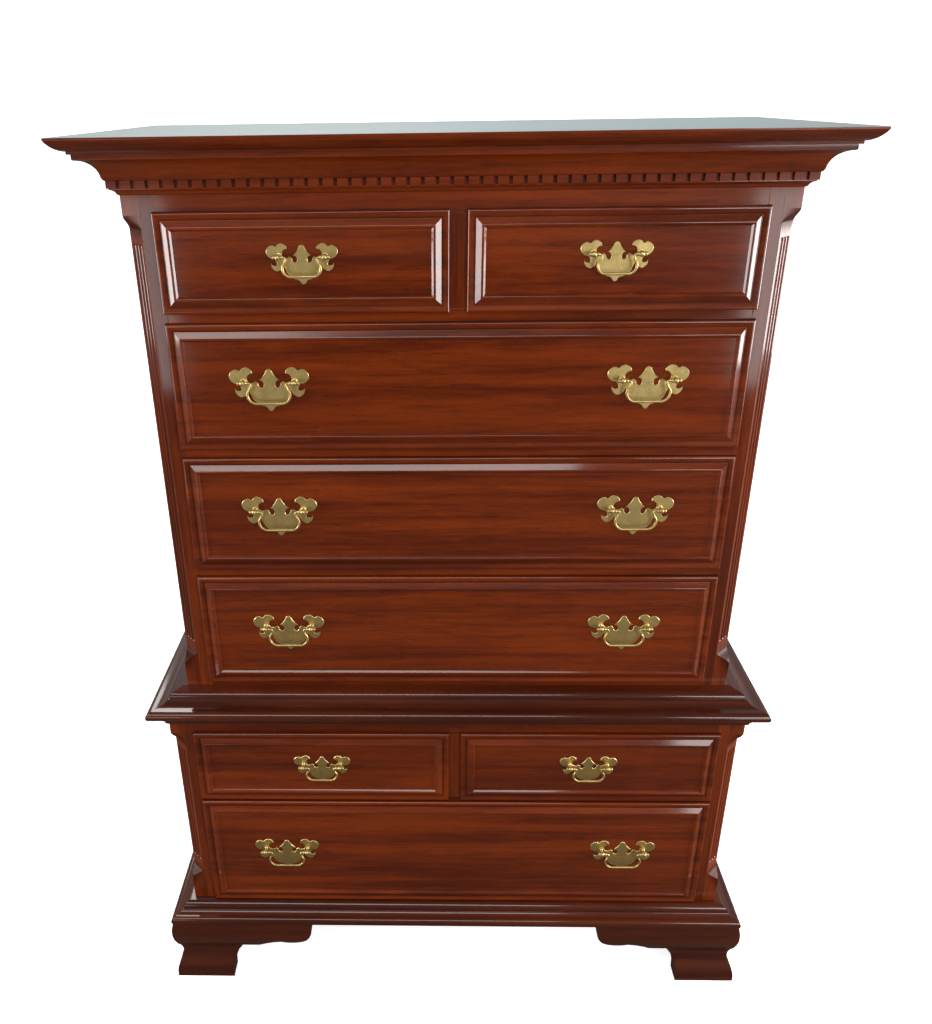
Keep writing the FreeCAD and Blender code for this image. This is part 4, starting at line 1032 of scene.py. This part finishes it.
@dataclass
class Feet:
    """Ogee bracket feet, mitred at the front corners and closed by boards behind.

    Args:
        faces: Faces of the lower case.
        spread: How far a foot stands out from the case.
        thickness: Thickness of a bracket over its whole ogee.
        height: Height of the feet.
        throat: From a foot's outer corner to where its wing begins.
        rear: Thickness of the plain rear boards.
        block: Width and depth of a glue block.
        block_lift: Height of the blocks' undersides.
        block_ease: How far the blocks' corners are rounded.
        board_ease: How far the rear boards' corners are rounded.
        scroll_ease: How far corners of the scrolled edge are rounded.
        side_stretch: How long a side wing is, in parts of a front one.
    """

    faces: CaseFaces
    spread: float = 44 * MM
    thickness: float = 34 * MM
    height: float = 144 * MM
    throat: float = 139 * MM
    rear: float = 22 * MM
    block: float = 40 * MM
    block_lift: float = 10 * MM
    block_ease: float = 1 * MM
    board_ease: float = 0.8 * MM
    scroll_ease: float = 0.6 * MM
    side_stretch: float = 0.55
    FOOT_WEAR = 0.8

    def build(self, shop: Workshop) -> None:
        """Make the feet.

        Args:
            shop: The workshop that makes its pieces.
        """
        faces = self.faces
        along_x, along_y = np.array((1.0, 0, 0)), np.array((0, 1.0, 0))
        tip = np.array((-faces.half - self.spread, faces.front - self.spread, 0))
        rear_tip = np.array((tip[0], faces.back, 0))
        for name, node, shape, grain in (
                ("front_feet_front", "front_feet",
                 self._bracket(tip, along_x, along_y, 1.0, True), Grain.ALONG_X),
                ("front_feet_side", "front_feet",
                 self._bracket(tip, along_y, along_x, self.side_stretch, True), Grain.ALONG_Y),
                ("rear_feet_side", "rear_feet",
                 self._bracket(rear_tip, -along_y, along_x, self.side_stretch, False),
                 Grain.ALONG_Y)):
            # The brackets take the darker copy of the cherry, as painted shade.
            shop.pair(name, shape, Finish.STAINED, node, grain)
        inner = tip[0] + self.thickness
        for node, depth in (("front_feet", tip[1] + self.thickness),
                            ("rear_feet", faces.back - self.rear - self.block)):
            block = Shape.slab((inner, depth, self.block_lift),
                               (inner + self.block, depth + self.block, self.height),
                               self.block_ease)
            shop.pair(f"{node}_block", block, Finish.INSIDE, node)
        shop.pair("rear_feet_board", self._rear_board(inner), Finish.INSIDE, "rear_feet",
                  Grain.ALONG_X)

    def _rear_board(self, inner: float) -> Shape:
        """The plain board that closes a rear foot.

        Args:
            inner: Where it starts, behind the side bracket.

        Returns:
            The board's shape.
        """
        outline, exposed = eased(traced(REAR_BOARD) * MM, self.board_ease)
        rings = np.array([np.column_stack((inner + outline[:, 0], np.full(len(outline), depth),
                                           outline[:, 1]))
                          for depth in (self.faces.back - self.rear, self.faces.back)])
        return Shape.skin(rings, np.array([exposed, exposed]))

    def _bracket(self, tip: np.ndarray, along: np.ndarray, inward: np.ndarray, stretch: float,
                 mitred: bool) -> Shape:
        """A bracket with its ogee face and its scrolled lower edge.

        Args:
            tip: The outer corner of the foot on the floor.
            along: The direction it runs in.
            inward: The direction from its face to its back.
            stretch: How far its wing is stretched beyond the throat.
            mitred: Whether its outer end is mitred.

        Returns:
            The bracket's shape.
        """
        far, foot = eased(traced(BRACKET_FOOT) * MM, self.scroll_ease, closed=False)[0].T
        far = np.where(far > self.throat, self.throat + (far - self.throat) * stretch, far)
        # The first stretch of the lower edge starts clear of the bracket beside it.
        clear = self.thickness + 1 * MM
        keep = (far == 0) | (far > clear)
        far = np.concatenate(([0, clear], far[keep][1:]))
        foot = np.concatenate(([0, 0], foot[keep][1:]))
        ogee = traced(OGEE)[::-1] * MM
        share = ogee[:, 1] / self.height
        rings = []
        for reach, rise in zip(far, foot):
            height = rise + (self.height - rise) * share
            out = np.interp(height, ogee[:, 1], ogee[:, 0])
            start = self.spread - out if mitred else np.zeros(len(out))
            face = np.column_stack((np.maximum(reach, start), self.spread - out, height))
            behind = max(reach, self.thickness) if mitred else reach
            back = [(behind, self.thickness, self.height), (behind, self.thickness, rise)]
            rings.append(np.concatenate((face, back)))
        rings = np.array(rings)
        world = (tip + rings[..., :1] * along + rings[..., 1:2] * inward
                 + rings[..., 2:] * np.array((0, 0, 1.0)))
        edge = np.zeros(rings.shape[:2])
        edge[:, 0] = self.FOOT_WEAR
        return Shape.skin(world, edge)


# --- drawers ----------------------------------------------------------------------------

# Section of a front's frame: (inset from the lip's edge, rise over the case), in millimetres.
FRONT_BAND = [(0, 0.4), (0, 4), (0.5, 5.75), (6.5, 7.5, 0.62, 1), (12, 5.5), (20.5, 11),
              (24.5, 11, 0.8, 1), (27, 8.5)]


@dataclass
class Drawer:
    """A drawer: its lipped and framed front, its box and its pulls.

    Args:
        name: The drawer's name.
        bails: Name endings of its bails.
        core: How far the front reaches back into the case.
        core_inset: From the lip's edge to the core, at the top and ends.
        core_lift: From the lip's edge to the core, below.
        lip_back: How far the lip's back stands off the case.
        valley: Where the frame's valley lies, as insets from the lip's edge; it is painted darker
            as shade.
        lip_shade: Width of the lip's rim that is painted darker as shade.
        field_rise: How far the field stands out from the case.
        frame_ease: How far corners of the worked frame are rounded.
        side: Thickness of the box's sides and back.
        panel: Thickness of its bottom.
        panel_lift: Height of the bottom over the sides' lower edges.
        groove: How far the bottom is let into the sides.
        box_ease: How far the boards' corners are rounded.
    """

    name: str
    bails: tuple[str, ...]
    core: float = 12 * MM
    core_inset: float = 6.5 * MM
    core_lift: float = 5.3 * MM
    lip_back: float = 0.4 * MM
    valley: tuple[float, float] = (7 * MM, 12.3 * MM)
    lip_shade: float = 0.7 * MM
    field_rise: float = 8.5 * MM
    frame_ease: float = 0.5 * MM
    side: float = 12 * MM
    panel: float = 6 * MM
    panel_lift: float = 12 * MM
    groove: float = 6 * MM
    box_ease: float = 1 * MM
    # How far the lip's rim and the valley are painted into shade, as an exposure below 0.
    GRIME = -0.75

    def build(self, shop: Workshop) -> None:
        """Make the drawer.

        Args:
            shop: The workshop that makes its pieces.
        """
        self._front(shop)
        self._box(shop)
        self._pulls(shop)

    def _front(self, shop: Workshop) -> None:
        """The front: rings of the worked frame around the sunk field.

        Args:
            shop: The workshop that makes its pieces.
        """
        node = f"{self.name}_front"
        low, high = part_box(node)
        face = high.y - self.core
        section, exposed = eased(traced(FRONT_BAND) * MM, self.frame_ease, closed=False)
        frames = [(inset, inset, rise) for inset, rise in section]
        core = [(self.core_inset, self.core_lift, rise) for rise in (-self.core, self.lip_back)]
        rings = []
        for inset, lift, rise in core + frames:
            left, right, depth = low.x + inset, high.x - inset, face - rise
            rings.append([(left, depth, low.z + lift), (right, depth, low.z + lift),
                          (right, depth, high.z - inset), (left, depth, high.z - inset)])
        inset = section[:, 0]
        valley = (inset > self.valley[0]) & (inset < self.valley[1])
        # Painted shade on the lip's rim and in the valley; the other corners keep their exposure.
        exposed = np.where(valley | (inset < self.lip_shade), self.GRIME, -exposed)
        edge = np.repeat(np.concatenate(([0, 0], exposed))[:, None], 4, axis=1)
        shop.piece(f"{node}_worked", Shape.skin(np.array(rings), edge), Finish.CHERRY, node,
                   Grain.ALONG_X)

    def _box(self, shop: Workshop) -> None:
        """The box: two sides, a back and a bottom let into them.

        Args:
            shop: The workshop that makes its pieces.
        """
        node = f"{self.name}_box"
        low, high = (np.array(corner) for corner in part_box(node))
        panel = low[2] + self.panel_lift
        inner_low, inner_high = low[0] + self.side, high[0] - self.side
        boards = {
            "left": (low, (inner_low, high[1], high[2])),
            "right": ((inner_high, low[1], low[2]), high),
            "back": ((inner_low, high[1] - self.side, panel + self.panel),
                     (inner_high, high[1], high[2])),
            "bottom": ((inner_low - self.groove, low[1], panel),
                       (inner_high + self.groove, high[1], panel + self.panel)),
        }
        for place, (near, far) in boards.items():
            board = Shape.slab(near, far, self.box_ease)
            shop.piece(f"{node}_{place}", board, Finish.INSIDE, node)

    def _pulls(self, shop: Workshop) -> None:
        """The pulls: bat-wing plates, and posts, nuts and bails as they are turned and bent.

        Args:
            shop: The workshop that makes its pieces.
        """
        node = f"{self.name}_pulls"
        low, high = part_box(f"{self.name}_front")
        level = (low.z + high.z) / 2
        field = high.y - self.core - self.field_rise
        size = PlateSize.LARGE if len(self.bails) == 2 else PlateSize.SMALL
        for ending in self.bails:
            bail = f"{self.name}_bail{ending}"
            near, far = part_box(bail)
            plate = Plate((near.x + far.x) / 2, field, level, size)
            shop.piece(f"{node}_plate{ending}", plate.shape(), Finish.BRASS, node)
            for index, solid in enumerate(Shape.solids_of(bail)):
                shop.piece(f"{bail}_{index}", solid, Finish.BRASS, bail)
        for index, solid in enumerate(Shape.solids_of(node)):
            bottom, top = solid.reach()
            if top[2] - bottom[2] < Plate.SMALLEST:
                shop.piece(f"{node}_{index}", solid, Finish.BRASS, node)


# --- brass ------------------------------------------------------------------------------

# Right half of the plate from its top finial round to the tip below, for the large size.
PLATE_HALF = [
    (0, 32.5), (5, 28, 0.8, 1), (16, 14.5, 2, -1), (9, 7.5, 0.7, -1), (12.5, 2.5, 0.75, -1),
    (17.5, 9.5, 0.8, -1), (22.5, 13, 1.2, 1), (35, 15, 0.55, -1), (25.5, 25, 0.65, -1),
    (30, 33, 0.9, 1), (43.5, 30.5, 0.65, 1), (50, 32, 0.8, -1), (62, 21, 0.75, 1),
    (49, 8.5, 0.7, 1), (44, -1, 1.2, -1), (54.2, 1.6, 0.6, -1), (44.7, -12.9, 0.72, 1),
    (33, -1.6, 0.85, 1), (29, -11), (12, -27, 1, 1), (5, -31, 1, -1), (0, -35.5, 1.2, 1),
]


class PlateSize(Enum):
    """The two sizes of plate; the value is the width in millimetres."""

    LARGE = 123
    SMALL = 104


@dataclass(frozen=True)
class Plate:
    """A bat-wing plate with a filed bevel round its edge.

    Args:
        x: Middle of the plate.
        field: Where the drawer's field is.
        level: Height of the plate's middle.
        size: Which size it is.
        thickness: Thickness of the metal.
        bevel: Width of the bevel.
    """

    x: float
    field: float
    level: float
    size: PlateSize
    thickness: float = 1.6 * MM
    bevel: float = 0.7 * MM
    # Solids of a pull that are lower than this are posts and nuts.
    SMALLEST = 40 * MM
    # Rings from back to face: how much of the bevel, how much of the thickness, how exposed.
    RINGS = ((0, 0, 0.0), (0, 0.55, 0.4), (1, 1, 0.0))
    # Where the plate is narrow, the bevel takes this part of its half width.
    NARROW = 0.3
    # A point's offset is at most the bevel over this, so that sharp tips stay short.
    BLUNT = 0.7
    # A point that lies behind another counts as this far before it, in metres.
    NOT_FACING = 1e-12

    def shape(self) -> Shape:
        """The plate, from its back to the face inside the bevel.

        Returns:
            The plate's shape.
        """
        scale = MM * (self.size.value / PlateSize.LARGE.value)
        right = traced(PLATE_HALF)
        outline = np.concatenate((right, right[-2:0:-1] * (-1, 1)))[::-1] * scale
        bevel = self._bevel(outline)
        rings, edge = [], []
        for inset, rise, exposed in self.RINGS:
            ring = outline + bevel * inset
            rings.append(np.column_stack((self.x + ring[:, 0],
                                          np.full(len(ring), self.field - self.thickness * rise),
                                          self.level + ring[:, 1])))
            edge.append(np.full(len(ring), exposed))
        shape = Shape.skin(np.array(rings), np.array(edge), caps=False)
        shape.faces += self._filled(rings[0], 0) + self._filled(rings[-1], len(outline) * 2)
        return shape

    @staticmethod
    def _filled(ring: np.ndarray, first: int) -> list[list[int]]:
        """Triangles that fill a flat ring of the plate.

        Args:
            ring: The ring's points.
            first: Number of its first point.

        Returns:
            Point numbers of each triangle.
        """
        flat = [Vector(point) for point in ring[:, [0, 2]] / MM]
        found = delaunay_2d_cdt(flat, [], [list(range(len(flat)))], 1, TINY)
        faces, origins = found[2], found[3]
        return [[first + origins[corner][0] for corner in face] for face in faces]

    def _bevel(self, outline: np.ndarray) -> np.ndarray:
        """How far the inner edge of the bevel lies from each point of the outline.

        Args:
            outline: The plate's outline, its solid side to the left of travel.

        Returns:
            The offsets, an array of (x, y), shorter where the plate is narrow.
        """
        after = np.roll(outline, -1, axis=0) - outline
        after /= np.linalg.norm(after, axis=1, keepdims=True)
        normal = np.column_stack((-after[:, 1], after[:, 0]))
        both = normal + np.roll(normal, 1, axis=0)
        inward = both / np.maximum((both ** 2).sum(axis=1, keepdims=True) / 2, self.BLUNT)
        # A circle that touches the outline at one point and passes another has this radius.
        gap = outline[None] - outline[:, None]
        facing = np.maximum((gap * inward[:, None]).sum(axis=2), self.NOT_FACING)
        room = (gap ** 2).sum(axis=2) / (2 * facing) + np.eye(len(outline))
        return inward * np.minimum(self.bevel, self.NARROW * room.min(axis=1, keepdims=True))


# --- room -------------------------------------------------------------------------------


@dataclass(frozen=True)
class Lamp:
    """A soft rectangular light that looks at the chest.

    Args:
        name: The light's name.
        place: Where it stands.
        size: Its width and height.
        power: Its power in watts.
        tint: Its colour.
        target: What it is turned to.
    """

    name: str
    place: tuple[float, float, float]
    size: tuple[float, float]
    power: float
    tint: tuple[float, float, float] = (1.0, 1.0, 1.0)
    target: tuple[float, float, float] = (0.0, -0.2, 0.9)

    def build(self) -> None:
        """Hang the light."""
        light = bpy.data.lights.new(self.name, "AREA")
        light.shape = "RECTANGLE"
        light.size, light.size_y = self.size
        light.energy = self.power
        light.color = self.tint
        lamp = placed(self.name, light)
        lamp.location = self.place
        aim = Vector(self.target) - Vector(self.place)
        lamp.rotation_euler = aim.to_track_quat("-Z", "Y").to_euler()


@dataclass(frozen=True)
class Studio:
    """A pale room: its floor and wall, lamps for its windows, and the camera."""

    LAMPS = (
        Lamp("window_right", (1.8, -3.0, 1.95), (1.2, 1.0), 33.0),
        Lamp("window_far_right", (2.9, -0.5, 1.15), (2.1, 1.1), 118.0),
        Lamp("doorway_right", (2.9, 0.95, 1.15), (0.8, 1.1), 15.0),
        Lamp("pane_right", (1.81, -3.1, 0.8), (0.8, 0.9), 10.0, target=(1.81, 0.0, 0.8)),
        Lamp("pane_left", (-1.65, -3.1, 0.8), (0.8, 0.9), 7.0, target=(-1.65, 0.0, 0.8)),
        Lamp("window_left", (-2.8, -0.9, 1.25), (1.6, 1.1), 66.0),
        Lamp("room_front", (-0.55, -2.6, 3.6), (2.7, 0.9), 46.0),
        Lamp("room_back", (-0.8, 2.7, 3.3), (2.0, 1.4), 70.0, (1.0, 0.95, 0.88)),
    )
    EYE = (-0.0396, -1.5626, 1.6463)
    YAW, PITCH, ROLL = math.radians(-1.62), math.radians(24.74), math.radians(0.88)
    FOCAL, WIDTH, HEIGHT, MIDDLE = 906.4, 932, 1024, 409.0
    SENSOR = 36.0
    WHITE, BLACK = colour(1, 1, 1), colour(0, 0, 0)
    PALE, SKY = colour(0.93, 0.93, 0.93), colour(0.12, 0.12, 0.125)
    FLOOR, WALL = colour(0.08, 0.065, 0.055), colour(0.38, 0.45, 0.46)
    WALL_GLOW, GLOW_STRENGTH, PLASTER_ROUGHNESS = colour(0.24, 0.31, 0.32), 0.75, 0.9
    WALL_FADE = (0.05, 0.7)
    REACH, FLOOR_END, BEND, BEND_POINTS, WALL_TOP = 9.0, 2.0, 1.2, 13, 4.5

    def build(self) -> None:
        """Set up the room."""
        self._room()
        self._sky()
        for lamp in self.LAMPS:
            lamp.build()
        self._camera()

    def _room(self) -> None:
        """Floor that curves up into a wall, both pale to the eye and dimmer to the wood."""
        material = bpy.data.materials.new("pale_room")
        bench = Bench(material)
        seen = bench.seen()
        wall = bench.level().stepped(*self.WALL_FADE)
        tone = bench.blend(wall, self.FLOOR, self.WALL)
        glow = bench.blend(wall, self.BLACK, self.WALL_GLOW)
        bench.surface({"Base Color": bench.blend(seen, tone, self.PALE),
                       "Roughness": self.PLASTER_ROUGHNESS,
                       "Emission Color": bench.blend(seen, glow, self.WHITE),
                       "Emission Strength": self.GLOW_STRENGTH})
        turn = np.linspace(0, math.pi / 2, self.BEND_POINTS)[1:]
        run = np.concatenate(([-self.REACH, self.FLOOR_END],
                              self.FLOOR_END + self.BEND * np.sin(turn),
                              [self.FLOOR_END + self.BEND]))
        rise = np.concatenate(([0.0, 0.0], self.BEND * (1 - np.cos(turn)), [self.WALL_TOP]))
        rings = np.array([np.column_stack((np.full(len(run), x), run, rise))
                          for x in (-self.REACH, self.REACH)])
        shape = Shape.skin(rings, np.zeros(rings.shape[:2]), around=False, caps=False)
        mesh = shape.mesh("room")
        mesh.materials.append(material)
        mesh.shade_smooth()
        room = placed("room", mesh)

    def _sky(self) -> None:
        """Even light from all round, white to the eye."""
        world = bpy.data.worlds.new("soft_room")
        bpy.context.scene.world = world
        bench = Bench(world)
        shade = bench.blend(bench.seen(), self.SKY, self.WHITE)
        light = bench.take("ShaderNodeBackground", {}, {"Color": shade})
        bench.put("ShaderNodeOutputWorld", {}, {"Surface": light})

    def _camera(self) -> None:
        """A camera at eye height, looking down at the chest."""
        forward = Vector((math.sin(self.YAW) * math.cos(self.PITCH),
                          math.cos(self.YAW) * math.cos(self.PITCH), -math.sin(self.PITCH)))
        level = Vector((math.cos(self.YAW), -math.sin(self.YAW), 0))
        down = forward.cross(level)
        right = level * math.cos(self.ROLL) + down * math.sin(self.ROLL)
        up = right.cross(forward)
        data = bpy.data.cameras.new("eye")
        larger = max(self.WIDTH, self.HEIGHT)
        data.sensor_width = self.SENSOR
        data.lens = self.FOCAL * self.SENSOR / larger
        data.shift_x = (self.WIDTH / 2 - self.MIDDLE) / larger
        eye = placed("eye", data)
        turn = Matrix((right, up, -forward)).transposed().to_4x4()
        eye.matrix_world = Matrix.Translation(self.EYE) @ turn
        bpy.context.scene.camera = eye
        bpy.context.scene.view_settings.view_transform = "Standard"


# --- chest ------------------------------------------------------------------------------

DRAWERS = (
    Drawer("top_left_drawer", ("",)),
    Drawer("top_right_drawer", ("",)),
    Drawer("second_drawer", ("_left", "_right")),
    Drawer("third_drawer", ("_left", "_right")),
    Drawer("fourth_drawer", ("_left", "_right")),
    Drawer("base_left_drawer", ("",)),
    Drawer("base_right_drawer", ("",)),
    Drawer("base_wide_drawer", ("_left", "_right")),
)


def main() -> None:
    """Build the chest and its room."""
    logging.basicConfig(level=logging.INFO)
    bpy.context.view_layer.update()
    shop = Workshop()
    Carcass().build(shop)
    for drawer in DRAWERS:
        drawer.build(shop)
    LOG.info("both cases and %d drawers made, %d pieces in all", len(DRAWERS), shop.made)
    Studio().build()


if __name__ == "__main__":
    main()
